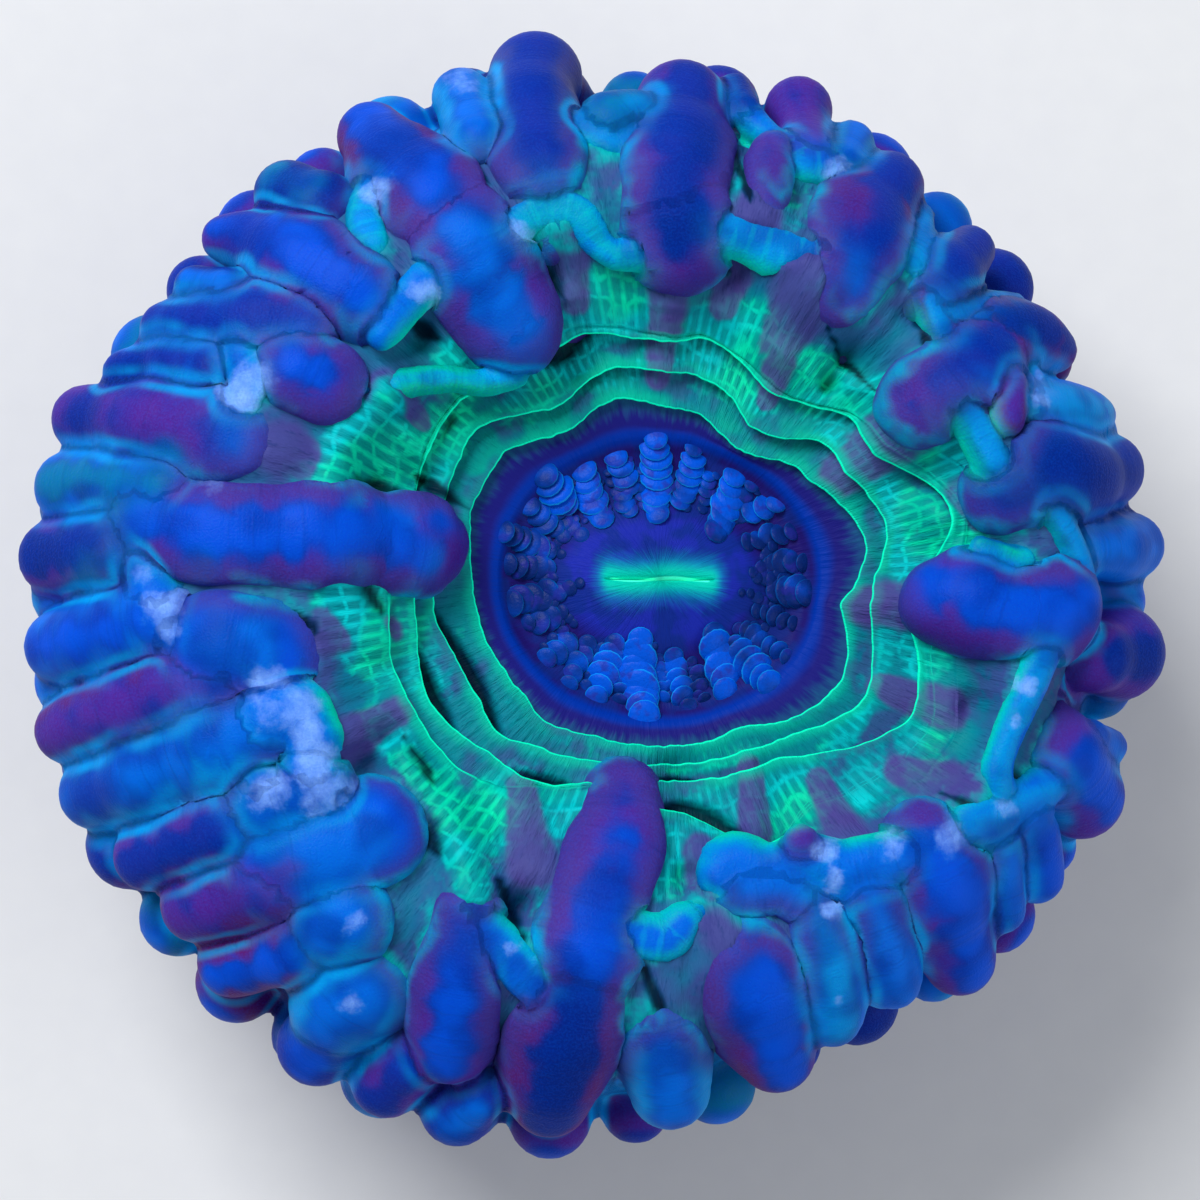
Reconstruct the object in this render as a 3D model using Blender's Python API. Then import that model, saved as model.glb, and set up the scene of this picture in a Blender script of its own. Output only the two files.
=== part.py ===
"""Button coral: one large inflated polyp on its own short stony foot, cut off flat underneath.

The animal and its foot grew as one piece, so the part is one solid. A turned body carries a sunken
oral disc with stepped ledges round it. Swollen lobes stand on the body round the disc, and rows of
smaller swellings run down its outer wall towards the foot. Lengths are in millimetres until the
last step, which scales the finished mesh to metres.
"""

import math

import bmesh
import bpy
from mathutils import Vector

# Driving dimensions, millimetres
POLYP_RADIUS = 41.0          # middle of the body to the middle of the outermost swellings
CREST_HEIGHT = 40.0          # base plane to the top of the highest lobes
CREST_DISTANCE = 26.0        # middle of the disc to that crest, on the level ground plan
INNER_FALL = 0.030           # how fast lobe tops drop from the crest towards the mouth
OUTER_FALL = 0.055           # how fast they drop from the crest towards the rim
INNER_PLUMPNESS = 0.14       # how much fatter swellings are away from the rim
PLUMP_WITHIN = 31.0          # distance from the middle inside which they have all of it
PLUMP_UNTIL = 37.0           # distance from the middle beyond which they have none of it
MOUTH = (4.5, 1.0)           # the oral disc sits a little off the middle of the polyp
FOOT_RADIUS = 22.0           # the flat cut under the foot
FOOT_SINK = 3.0              # stock below the base plane, taken off by the cut
RIM_HEIGHT = 25.0            # widest level of the body; above it the body leans to the mouth
INSET_FROM = 22.0            # distance from the middle at which the drawn-in rim starts
INSET_FULL = 33.0            # distance from the middle at which it is drawn in fully
STOCK_WIDTH = 120.0          # block that cuts the foot off flat
STOCK_HEIGHT = 20.0

SURFACE_STEP = 0.95          # grid of the joined skin
MESH_SHARE = 0.140           # share of its faces that is kept
BODY_STEPS = 96              # steps round the turned body
BALL_SUBDIVISIONS = 2        # fineness of the balls that make the swellings
MERGE_DISTANCE = 0.001
METRES = 0.001

# Half profile of the body without its lobes, mouth outwards, over the rim and down the wall
BODY_PROFILE = [
    (0.0, 29.6), (3.0, 29.6), (5.0, 28.8), (9.0, 28.6), (11.5, 29.4), (12.6, 29.9), (13.2, 31.2),
    (14.9, 31.4), (15.4, 32.5), (17.6, 32.7), (18.2, 33.8), (20.2, 34.1), (20.8, 35.2),
    (24.0, 36.5), (28.0, 37.1), (31.0, 35.8), (33.5, 33.5), (36.5, 29.5), (37.5, RIM_HEIGHT),
    (36.8, 20.0), (34.5, 15.0), (31.0, 11.0), (27.0, 8.0), (24.0, 5.5), (22.6, 2.5),
    (FOOT_RADIUS, 0.0), (FOOT_RADIUS, -FOOT_SINK),
]

# Where the rim is drawn in: bearing in degrees and how far
RIM_INSET = [
    (0.0, 0.0), (75.0, 0.2), (90.0, 1.6), (105.0, 0.2), (120.0, 1.7), (150.0, 1.7), (165.0, 0.5),
    (180.0, 0.0), (268.0, 0.2), (284.0, 1.5), (300.0, 3.3), (312.0, 1.2), (325.0, 0.2), (360.0, 0.0),
]

# Lobes as chains of swellings, outer end first: place on the ground plan, girth radius and, where
# a lobe melts into the slope, how far its top sits below the crest line
NORTH_LOBES = [
    [(-4.5, 38.0, 3.3), (-5.0, 34.0, 2.9), (-4.7, 29.8, 2.6, 0.4), (-4.0, 26.5, 2.0, 1.6),
     (-3.6, 25.0, 1.6, 2.7)],
    [(6.0, 35.5, 3.4), (5.0, 30.0, 3.4), (4.5, 27.5, 2.8)],
    [(5.0, 26.0, 3.2), (5.2, 24.8, 3.1)],
    [(15.0, 36.0, 2.5), (15.0, 31.5, 1.8, 0.6)],
    [(12.0, 31.5, 1.9, 0.8), (11.3, 28.5, 1.8, 1.2), (11.0, 26.0, 1.6, 2.2)],
    [(18.5, 33.0, 1.8), (17.5, 31.0, 1.6)],
    [(21.5, 29.5, 2.8), (19.6, 26.4, 3.3), (18.8, 23.4, 3.4, 0.1), (17.8, 20.8, 2.7, 1.2)],
    [(15.2, 22.4, 2.6, 1.8), (14.0, 20.4, 2.4, 2.4)],
    [(0.5, 33.5, 1.8), (2.5, 34.5, 1.4)],
    [(-10.0, 36.0, 2.3), (-9.0, 32.0, 1.6)],
    [(10.0, 37.0, 1.4), (10.5, 35.0, 1.2)],
]
EAST_LOBES = [
    [(27.5, 25.5, 1.7), (25.5, 23.0, 2.1, 0.6), (24.0, 20.0, 1.6, 1.4)],
    [(33.5, 18.0, 1.8), (31.0, 18.5, 2.7), (28.0, 18.5, 2.3, 0.6), (26.0, 18.0, 1.8, 1.6)],
    [(27.4, 16.6, 2.3, 0.3), (25.6, 15.5, 3.0, 0.8), (24.0, 14.3, 3.0, 1.5), (22.4, 13.0, 2.4, 2.5)],
    [(37.0, 13.5, 1.6), (34.5, 13.0, 2.7), (31.0, 13.4, 2.0, 0.8), (28.6, 13.6, 1.6, 2.0)],
    [(38.0, 9.5, 2.9), (35.0, 8.5, 3.3), (31.4, 8.2, 3.2, 0.2), (28.4, 6.6, 2.6, 1.4),
     (26.0, 6.0, 1.9, 2.7)],
    [(40.0, 4.0, 2.5), (37.4, 3.4, 2.4, 0.4), (34.4, 3.0, 1.8, 1.6)],
    [(32.6, -1.2, 2.9), (30.8, -1.8, 3.3), (28.3, -1.8, 2.5, 0.3), (26.0, -1.0, 2.8, 0.2),
     (24.4, -0.9, 2.5, 0.8)],
    [(38.5, -4.0, 3.5), (36.0, -4.5, 3.0)],
    [(37.5, -11.0, 1.5), (35.5, -10.5, 1.5)],
    [(35.5, -14.5, 3.2), (33.5, -11.5, 3.0)],
    [(31.0, -6.5, 1.5, 0.6), (29.5, -10.0, 1.3, 1.0), (28.0, -13.5, 1.6, 0.8)],
]
SOUTH_LOBES = [
    [(31.8, -20.4, 2.2), (31.2, -17.8, 2.1), (30.4, -16.4, 1.8, 0.4)],
    [(28.9, -22.8, 1.7), (28.6, -20.2, 1.6, 0.4), (28.2, -18.2, 1.4, 1.0)],
    [(26.0, -26.4, 2.5), (25.0, -24.0, 3.1), (23.7, -21.0, 3.4), (22.7, -18.4, 2.9, 0.3)],
    [(20.6, -27.8, 1.9), (19.6, -25.4, 1.9, 0.2), (18.6, -22.4, 1.7, 0.8), (18.0, -20.6, 1.6, 1.4)],
    [(16.3, -30.4, 2.0), (15.8, -27.4, 2.0, 0.2), (15.0, -24.2, 1.7, 0.9), (14.6, -22.0, 1.5, 1.6)],
    [(12.5, -33.0, 2.9), (11.5, -30.5, 3.4), (10.2, -27.2, 3.5, 0.3), (8.8, -23.8, 2.6, 1.8)],
    [(5.0, -35.5, 2.9), (4.2, -32.4, 2.4, 0.8), (3.6, -29.4, 1.8, 2.2)],
    [(-3.5, -36.0, 3.3), (-3.0, -33.0, 3.5), (-2.8, -28.8, 3.2)],
    [(-2.0, -25.5, 3.5), (-1.2, -21.5, 3.4, 0.2), (-0.6, -18.0, 3.1, 0.9), (0.2, -14.8, 2.7, 1.3)],
    [(-10.0, -37.0, 2.6), (-8.5, -36.0, 1.9)],
    [(-11.0, -32.5, 2.8), (-11.0, -29.5, 3.0), (-10.8, -25.5, 2.8, 0.3), (-10.4, -21.6, 2.1, 1.6),
     (-10.2, -18.4, 1.6, 2.6)],
    [(9.4, -21.4, 1.6, 0.8), (12.0, -20.8, 1.6, 0.9), (13.4, -21.8, 1.5, 1.2)],
]
WEST_LOBES = [
    [(-15.0, -35.0, 2.7), (-13.5, -33.5, 2.6)],
    [(-20.0, -32.5, 3.0), (-19.0, -31.0, 2.6)],
    [(-18.5, -29.5, 3.4), (-17.0, -28.0, 3.4)],
    [(-26.0, -26.5, 2.7), (-23.0, -26.0, 2.5), (-20.0, -24.5, 2.1), (-17.5, -23.5, 1.8)],
    [(-28.5, -22.5, 2.7), (-25.5, -21.5, 2.8), (-23.0, -20.5, 2.3)],
    [(-22.0, -19.0, 3.2), (-19.0, -18.5, 3.6), (-16.4, -17.6, 3.2, 0.4)],
    [(-32.0, -19.0, 2.5), (-29.0, -18.0, 2.3), (-26.0, -17.0, 2.0)],
    [(-23.5, -15.5, 2.3), (-20.0, -14.5, 1.9)],
    [(-36.0, -14.5, 2.7), (-31.5, -13.0, 3.0), (-27.0, -11.2, 3.1), (-23.6, -9.9, 2.8, 0.3)],
    [(-38.0, -10.0, 2.5), (-34.5, -9.0, 2.8), (-30.0, -7.6, 2.8, 0.2), (-26.5, -6.8, 2.4, 0.6)],
    [(-38.5, -4.0, 2.7), (-35.5, -3.5, 2.9), (-31.0, -2.5, 2.2)],
    [(-26.4, -4.6, 3.4), (-24.0, -5.0, 3.5), (-23.0, -5.4, 2.8, 0.6)],
    [(-39.0, 2.5, 2.8), (-34.0, 2.5, 2.7)],
    [(-31.5, 4.5, 2.7), (-27.5, 3.3, 3.0), (-22.0, 3.2, 3.1), (-18.4, 3.4, 3.0, 0.1),
     (-16.9, 3.2, 2.5, 0.5), (-15.2, 3.0, 2.9, 0.5), (-13.2, 3.0, 2.8, 0.9), (-11.9, 3.3, 2.2, 1.4),
     (-10.9, 3.5, 1.9, 1.9)],
    [(-38.0, 7.5, 2.7), (-35.0, 7.5, 2.4), (-31.0, 6.5, 1.8)],
    [(-37.0, 12.5, 2.6), (-32.0, 11.5, 3.4), (-28.5, 10.5, 3.5), (-25.6, 9.6, 2.8, 0.9),
     (-23.8, 8.8, 2.0, 2.4)],
    [(-34.0, 15.5, 1.7), (-31.0, 16.0, 1.8), (-28.0, 15.0, 1.5)],
    [(-31.0, 18.5, 2.0), (-27.5, 18.0, 2.8), (-24.4, 17.4, 3.1, 0.2), (-22.2, 16.2, 2.6, 0.8)],
    [(-21.0, 14.2, 3.2), (-19.4, 13.8, 3.0, 0.3)],
    [(-29.0, 21.5, 1.6), (-26.5, 21.0, 1.4)],
    [(-27.0, 24.5, 1.7), (-24.5, 25.0, 2.2), (-21.2, 22.8, 3.0), (-18.6, 20.6, 3.0, 0.2),
     (-16.4, 18.6, 2.4, 1.0)],
    [(-22.5, 28.5, 2.5), (-20.5, 27.5, 2.5)],
    [(-16.5, 33.0, 2.7), (-14.5, 30.0, 3.2), (-12.2, 27.0, 3.4)],
    [(-9.8, 24.0, 3.3), (-8.5, 21.6, 3.6), (-7.1, 19.3, 3.5), (-5.7, 17.4, 2.8, 0.3)],
]
# Low webs between the lobes: how far they sit below the crest line, then their swellings
WEBS = [
    (1.2, [(-7.0, 24.2, 1.2), (-5.4, 25.0, 1.5), (-3.6, 25.7, 1.5), (-2.2, 25.6, 1.5), (-1.2, 24.4, 1.5),
     (-0.1, 23.3, 1.5), (2.0, 22.8, 1.4)]),
    (0.9, [(7.0, 25.2, 1.2), (9.4, 24.6, 1.5), (12.0, 23.8, 1.6), (14.4, 23.4, 1.5), (16.6, 23.4, 1.4)]),
    (2.3, [(-16.2, 12.0, 1.0), (-13.6, 14.4, 1.4), (-11.2, 15.3, 1.5), (-8.4, 15.2, 1.5), (-5.6, 15.8, 1.3)]),
    (0.9, [(-17.2, 16.0, 1.0), (-16.0, 17.6, 1.4), (-14.6, 19.4, 1.5), (-13.0, 21.4, 1.3)]),
    (0.9, [(-9.8, -22.8, 1.1), (-8.2, -24.6, 1.5), (-6.4, -26.4, 1.6), (-4.8, -28.0, 1.2)]),
    (1.1, [(-0.2, -23.4, 1.0), (2.0, -24.4, 1.4), (4.2, -24.8, 1.5), (5.2, -23.6, 1.2)]),
    (0.5, [(31.5, -5.2, 1.4), (30.2, -7.5, 1.5), (29.0, -10.0, 1.5), (28.0, -12.4, 1.3)]),
    (0.6, [(25.6, -16.6, 1.3), (27.4, -16.2, 1.8), (29.2, -15.2, 1.5), (31.5, -14.2, 1.6)]),
    (1.2, [(24.6, 13.4, 0.9), (25.8, 12.0, 1.1), (26.8, 10.0, 1.3), (27.6, 8.0, 1.2)]),
    (0.5, [(8.0, -20.4, 1.5), (9.2, -19.6, 2.2), (11.6, -19.8, 1.6), (14.0, -19.2, 1.8), (16.6, -20.0, 1.9),
     (18.8, -19.4, 1.8), (20.8, -18.8, 1.4)]),
    (-0.7, [(13.4, -18.0, 1.2), (13.5, -18.0, 1.2)]),
    (-0.2, [(-23.6, -9.6, 2.2), (-21.8, -9.2, 2.4), (-20.4, -10.8, 1.9)]),
    (0.1, [(-20.6, -13.0, 1.7), (-19.8, -14.6, 1.9)]),
    (0.2, [(-23.6, -14.4, 1.6), (-23.2, -15.8, 1.8)]),
    (0.2, [(-32.6, 1.2, 1.0), (-31.6, -0.8, 1.7), (-30.8, -2.4, 1.7), (-30.4, -3.8, 1.1)]),
    (0.5, [(-26.0, 16.0, 0.9), (-24.8, 14.2, 1.4), (-25.4, 12.6, 1.1)]),
    (1.2, [(-1.4, 33.0, 1.2), (0.6, 31.4, 1.4), (2.4, 32.6, 1.3)]),
]

# Rows of swellings down the outer wall: distance from the middle, height and girth radius
WALL_ROW = [
    (38.2, 25.5, 3.1), (37.6, 21.5, 2.6), (36.6, 18.0, 3.0), (34.4, 14.6, 2.4), (31.6, 11.8, 2.4),
    (27.5, 8.8, 1.3),
]
WALL_ROWS = 38               # rows round the wall, large and small by turns
SMALL_ROW_GIRTH = 0.82       # girth of a small row beside a large one
BEAD_STEP = 0.45             # spacing of the balls that fill a chain, in girth radii

# Low stony ribs of the foot, measured as the wall rows are
FOOT_RIB = [(26.5, 7.6, 1.1), (23.4, 4.0, 1.1), (FOOT_RADIUS, 0.0, 1.1), (FOOT_RADIUS, -1.5, 1.1)]
FOOT_RIBS = 38


def ground_distance(x, y):
    """Distance from the mouth near the disc, shading into distance from the middle at the rim."""
    share = max(0.0, 1.0 - math.hypot(x, y) / POLYP_RADIUS)
    return math.hypot(x - MOUTH[0] * share, y - MOUTH[1] * share)


def lobe_top(x, y):
    """Height of the lobes' tops over a point of the ground plan."""
    past_crest = ground_distance(x, y) - CREST_DISTANCE
    fall = INNER_FALL if past_crest < 0 else OUTER_FALL
    return CREST_HEIGHT - fall * past_crest**2


def smooth_step(value, low, high):
    """Rises smoothly from 0 at low to 1 at high."""
    share = min(1.0, max(0.0, (value - low) / (high - low)))
    return share * share * (3.0 - 2.0 * share)


def plump(x, y, girth):
    """Girth of a swelling once the inner ones have been made fatter."""
    inside = 1.0 - smooth_step(math.hypot(x, y), PLUMP_WITHIN, PLUMP_UNTIL)
    return girth * (1.0 + INNER_PLUMPNESS * inside)


def rim_inset(x, y):
    """How far a point of the outer wall is drawn in towards the middle."""
    bearing = math.degrees(math.atan2(y, x)) % 360.0
    for (start, start_inset), (end, end_inset) in zip(RIM_INSET, RIM_INSET[1:]):
        if start <= bearing <= end:
            return start_inset + (end_inset - start_inset) * (bearing - start) / (end - start)
    return 0.0


def chain_balls(swellings):
    """Balls along a chain of (centre, girth) swellings, close enough to read as one lobe."""
    balls = [swellings[0]]
    for (start, start_girth), (end, end_girth) in zip(swellings, swellings[1:]):
        spacing = BEAD_STEP * min(start_girth, end_girth)
        count = max(1, math.ceil((end - start).length / spacing))
        for number in range(1, count + 1):
            share = number / count
            balls.append((start.lerp(end, share), start_girth + (end_girth - start_girth) * share))
    return balls


def add_balls(mesh, balls):
    """One closed ball for each (centre, radius), all copied from a single round pattern."""
    pattern = bmesh.new()
    bmesh.ops.create_icosphere(pattern, subdivisions=BALL_SUBDIVISIONS, radius=1.0)
    corners = [vert.co.copy() for vert in pattern.verts]
    sides = [[vert.index for vert in face.verts] for face in pattern.faces]
    pattern.free()
    for centre, radius in balls:
        copied = [mesh.verts.new(centre + corner * radius) for corner in corners]
        for side in sides:
            mesh.faces.new([copied[index] for index in side])


def add_body(mesh):
    """The turned body, its rim drawn in by places and its upper side leaning to the mouth."""
    before = set(mesh.verts)
    line = [mesh.verts.new((distance, 0.0, height)) for distance, height in BODY_PROFILE]
    edges = [mesh.edges.new(pair) for pair in zip(line, line[1:])]
    bmesh.ops.spin(
        mesh, geom=line + edges, cent=(0, 0, 0), axis=(0, 0, 1), angle=math.tau, steps=BODY_STEPS,
        use_merge=True,
    )
    turned = [vert for vert in mesh.verts if vert not in before]
    bmesh.ops.remove_doubles(mesh, verts=turned, dist=MERGE_DISTANCE)
    turned = [vert for vert in mesh.verts if vert not in before]
    rims = {edge for vert in turned for edge in vert.link_edges if edge.is_boundary}
    bmesh.ops.holes_fill(mesh, edges=list(rims), sides=0)
    for vert in turned:
        distance = vert.co.xy.length
        if distance > INSET_FROM:
            inset = rim_inset(vert.co.x, vert.co.y) * smooth_step(distance, INSET_FROM, INSET_FULL)
            vert.co.xy *= 1.0 - inset / distance
        share = max(0.0, 1.0 - distance / POLYP_RADIUS)
        if vert.co.z > RIM_HEIGHT:
            vert.co.x += MOUTH[0] * share
            vert.co.y += MOUTH[1] * share


def lobe_balls():
    """Every lobe of the upper side, its top following the common crest but for its own sink."""
    balls = []
    for lobe in NORTH_LOBES + EAST_LOBES + SOUTH_LOBES + WEST_LOBES:
        swellings = []
        for x, y, thin_girth, *sinks in lobe:
            girth = plump(x, y, thin_girth)
            top = lobe_top(x, y) - sum(sinks)
            swellings.append((Vector((x, y, top - girth)), girth))
        balls += chain_balls(swellings)
    return balls


def web_balls():
    """The low webs between the lobes."""
    balls = []
    for drop, web in WEBS:
        balls += chain_balls([(Vector((x, y, lobe_top(x, y) - drop - girth)), girth) for x, y, girth in web])
    return balls


def upright_chain(profile, angle, size, inset):
    """A chain in one upright plane through the axis, from (distance, height, girth) steps."""
    swellings = []
    for distance, height, girth in profile:
        reach = distance - inset
        centre = Vector((reach * math.cos(angle), reach * math.sin(angle), height))
        swellings.append((centre, girth * size))
    return chain_balls(swellings)


def wall_balls():
    """Rows of swellings from the rim down to the foot, large and small by turns."""
    balls = []
    for row in range(WALL_ROWS):
        angle = math.tau * row / WALL_ROWS
        size = SMALL_ROW_GIRTH if row % 2 else 1.0
        balls += upright_chain(WALL_ROW, angle, size, rim_inset(math.cos(angle), math.sin(angle)))
    return balls


def rib_balls():
    """Low upright ribs of the stony foot, from under the soft wall down past the base plane."""
    balls = []
    for rib in range(FOOT_RIBS):
        balls += upright_chain(FOOT_RIB, math.tau * rib / FOOT_RIBS, 1.0, 0.0)
    return balls


def base_cutter():
    """A block whose top is the base plane."""
    mesh = bmesh.new()
    bmesh.ops.create_cube(mesh, size=1.0)
    bmesh.ops.scale(mesh, verts=mesh.verts, vec=(STOCK_WIDTH, STOCK_WIDTH, STOCK_HEIGHT))
    bmesh.ops.translate(mesh, verts=mesh.verts, vec=(0.0, 0.0, -STOCK_HEIGHT / 2))
    bmesh.ops.scale(mesh, verts=mesh.verts, vec=(METRES, METRES, METRES))
    data = bpy.data.meshes.new("base_cutter")
    mesh.to_mesh(data)
    mesh.free()
    cutter = bpy.data.objects.new("base_cutter", data)
    cutter.hide_render = True
    cutter.display_type = "WIRE"
    bpy.context.collection.objects.link(cutter)
    return cutter


def tissue_material():
    """Soft blue-violet tissue."""
    material = bpy.data.materials.new("tissue")
    material.use_nodes = True
    shader = material.node_tree.nodes["Principled BSDF"]
    shader.inputs["Base Color"].default_value = (0.05, 0.09, 0.62, 1.0)
    shader.inputs["Roughness"].default_value = 0.45
    shader.inputs["Metallic"].default_value = 0.0
    return material


def polyp():
    """The whole coral: body, lobes and foot joined under one skin and cut flat."""
    mesh = bmesh.new()
    add_body(mesh)
    add_balls(mesh, lobe_balls() + web_balls() + wall_balls() + rib_balls())
    bmesh.ops.recalc_face_normals(mesh, faces=mesh.faces)
    bmesh.ops.scale(mesh, verts=mesh.verts, vec=(METRES, METRES, METRES))
    data = bpy.data.meshes.new("polyp")
    mesh.to_mesh(data)
    mesh.free()
    coral = bpy.data.objects.new("polyp", data)
    bpy.context.collection.objects.link(coral)
    data.materials.append(tissue_material())

    skin = coral.modifiers.new("one skin", "REMESH")
    skin.mode = "VOXEL"
    skin.voxel_size = SURFACE_STEP * METRES
    skin.use_smooth_shade = True
    lighter = coral.modifiers.new("fewer faces", "DECIMATE")
    lighter.ratio = MESH_SHARE
    flat = coral.modifiers.new("flat cut", "BOOLEAN")
    flat.operation = "DIFFERENCE"
    flat.solver = "EXACT"
    flat.object = base_cutter()
    return coral


def main():
    for old in list(bpy.data.objects):
        bpy.data.objects.remove(old, do_unlink=True)
    polyp()


main()
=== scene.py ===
import math

import bmesh
import bpy
import numpy as np
from mathutils import Matrix, Vector, noise
from mathutils.bvhtree import BVHTree


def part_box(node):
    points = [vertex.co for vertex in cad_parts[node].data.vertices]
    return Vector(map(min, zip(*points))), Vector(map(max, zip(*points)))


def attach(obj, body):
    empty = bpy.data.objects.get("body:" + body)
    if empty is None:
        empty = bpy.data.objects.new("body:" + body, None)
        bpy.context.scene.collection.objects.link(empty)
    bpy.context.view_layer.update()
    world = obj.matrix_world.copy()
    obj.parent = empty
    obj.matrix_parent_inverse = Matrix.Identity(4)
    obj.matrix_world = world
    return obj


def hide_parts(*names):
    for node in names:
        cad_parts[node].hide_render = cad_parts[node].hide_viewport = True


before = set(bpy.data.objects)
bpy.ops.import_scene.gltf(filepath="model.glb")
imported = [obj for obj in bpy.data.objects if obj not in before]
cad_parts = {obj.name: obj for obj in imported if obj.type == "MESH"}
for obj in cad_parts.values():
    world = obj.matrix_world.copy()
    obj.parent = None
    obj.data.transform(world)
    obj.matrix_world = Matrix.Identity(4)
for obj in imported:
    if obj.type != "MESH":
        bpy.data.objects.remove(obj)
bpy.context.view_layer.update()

# Everything below is laid out in millimetres about the polyp's axis and scaled to metres at the end.
mm = 0.001
polypLow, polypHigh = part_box("polyp")
crestHeight = polypHigh[2] / mm
mouth = (4.5, 1.0)


def paint(red, green, blue):
    # screen colour, 0 to 255, to the linear colour that nodes take
    shares = [part / 255 for part in (red, green, blue)]
    return tuple(s / 12.92 if s < 0.04045 else ((s + 0.055) / 1.055) ** 2.4 for s in shares)


tints = {
    "plum": paint(74, 34, 142),
    "violet": paint(36, 42, 150),
    "heather": paint(58, 60, 138),
    "maroon": paint(86, 22, 108),
    "navy": paint(4, 36, 132),
    "royal": paint(0, 78, 212),
    "azure": paint(0, 104, 218),
    "cyan": paint(0, 142, 220),
    "teal": paint(2, 112, 164),
    "aqua": paint(0, 164, 196),
    "lavender": paint(100, 138, 240),
    "jade": paint(0, 180, 150),
}


# meshes

def linkObject(name, data):
    made = bpy.data.objects.new(name, data)
    bpy.context.collection.objects.link(made)
    return made


def plainObject(name, verts, faces, edges=()):
    data = bpy.data.meshes.new(name)
    data.from_pydata([tuple(map(float, v)) for v in verts], edges, faces)
    data.update()
    return linkObject(name, data)


def meshPoints(data, field="co"):
    points = np.empty(len(data.vertices) * 3)
    data.vertices.foreach_get(field, points)
    return points.reshape(-1, 3)


def keepMasks(data, **masks):
    # numbers or vectors at each point, for materials and node trees to read
    for name, values in masks.items():
        values = np.asarray(values, dtype=np.float32)
        kind, field = ("FLOAT", "value") if values.ndim == 1 else ("FLOAT_VECTOR", "vector")
        data.attributes.new(name, kind, "POINT").data.foreach_set(field, values.ravel())


def pathsObject(name, paths, **masks):
    # loose lines, one through each list of points
    edges, first = [], 0
    for path in paths:
        edges += [(first + step, first + step + 1) for step in range(len(path) - 1)]
        first += len(path)
    made = plainObject(name, [place for path in paths for place in path], [], edges)
    keepMasks(made.data, **masks)
    return made


def bakeShape(source, name):
    # live modifiers to a plain mesh; the working object goes away
    graph = bpy.context.evaluated_depsgraph_get()
    data = bpy.data.meshes.new_from_object(source.evaluated_get(graph))
    data.name = name
    bpy.data.objects.remove(source, do_unlink=True)
    return linkObject(name, data)


def finishPiece(piece, material):
    data = piece.data
    data.transform(Matrix.Scale(mm, 4))
    data.materials.clear()
    data.materials.append(material)
    data.shade_smooth()
    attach(piece, "root")
    print("made", piece.name, len(data.polygons), "faces")


def smoothStep(values, low, high):
    share = np.clip((values - low) / (high - low), 0.0, 1.0)
    return share * share * (3 - 2 * share)


def between(pairs, value, **settings):
    # reads a table of (spot, value) pairs between its entries
    spots, values = zip(*pairs)
    return np.interp(value, spots, values, **settings)


def towards(vectors):
    return vectors / np.maximum(np.linalg.norm(vectors, axis=1), 1e-6)[:, None]


def roughness(points, size, seed=0.0):
    # soft noise from -1 to 1 at each point, with features of the given size
    shift = Vector((seed * 7.3, seed * 3.1, seed * 5.7))
    return np.array([noise.noise(Vector(p) / size + shift) for p in points])


def circle(bearing, reach, height):
    return np.stack([np.cos(bearing) * reach, np.sin(bearing) * reach, bearing * 0 + height], axis=-1)


def roundNoise(bearing, reach, size, seed):
    return roughness(circle(bearing, reach, seed * 9.1), size)


def fullTurn(steps):
    return np.linspace(0, math.tau, steps, endpoint=False)


def ringFaces(count, around):
    # four-sided faces between rings of points, from the inside out
    faces = []
    for row in range(count - 1):
        for step in range(around):
            here, after = row * around + step, row * around + (step + 1) % around
            faces.append((here, here + around, after + around, after))
    return faces


def loftRound(name, rows, centre, closeInside=False, closeOutside=False):
    # rows are (reach, height) arrays round one centre, from the inside out
    reach, height = np.array(rows).transpose(1, 0, 2)
    count, around = reach.shape
    verts = (circle(fullTurn(around), reach, height) + (*centre, 0)).reshape(-1, 3)
    faces = ringFaces(count, around)
    if closeInside:
        faces.append(tuple(range(around)))
    if closeOutside:
        faces.append(tuple(reversed(range((count - 1) * around, count * around))))
    return plainObject(name, verts, faces)


def alongLine(points, x0, y0, x1, y1):
    # on the ground plan: how far along a line each point is, 0 to 1, and how far from it
    dx, dy = x1 - x0, y1 - y0
    share = np.clip(((points[:, 0] - x0) * dx + (points[:, 1] - y0) * dy) / (dx * dx + dy * dy), 0, 1)
    return share, np.hypot(points[:, 0] - x0 - dx * share, points[:, 1] - y0 - dy * share)


# nodes

class Wire:
    # a node's output; sums and products of wires become nodes themselves
    def __init__(self, node, name=0):
        self.socket = node.outputs[name]
        self.tree = node.id_data

    def __add__(self, other):
        return maths("ADD", self, other)

    def __sub__(self, other):
        return maths("SUBTRACT", self, other)

    def __rsub__(self, other):
        return maths("SUBTRACT", other, self)

    def __mul__(self, other):
        return maths("MULTIPLY", self, other)

    def __truediv__(self, other):
        return maths("DIVIDE", self, other)


def treeOf(*parts):
    return next(part.tree for part in parts if isinstance(part, Wire))


def feed(socket, value):
    if isinstance(value, Wire):
        socket.id_data.links.new(value.socket, socket)
    elif hasattr(value, "__len__") and socket.type == "RGBA":
        socket.default_value = (*value[:3], 1.0)
    else:
        socket.default_value = value


def addNode(tree, kind, inputs={}, **settings):
    made = tree.nodes.new(kind)
    for name, value in settings.items():
        setattr(made, name, value)
    for name, value in inputs.items():
        feed(made.inputs[name], value)
    return made


def maths(operation, first, second=0.0, clamp=False):
    settings = {"operation": operation, "use_clamp": clamp}
    return Wire(addNode(treeOf(first, second), "ShaderNodeMath", {0: first, 1: second}, **settings))


def spread(value, low, high, toLow=0.0, toHigh=1.0):
    inputs = dict(enumerate((value, low, high, toLow, toHigh)))
    return Wire(addNode(value.tree, "ShaderNodeMapRange", inputs, interpolation_type="SMOOTHSTEP"))


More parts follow.
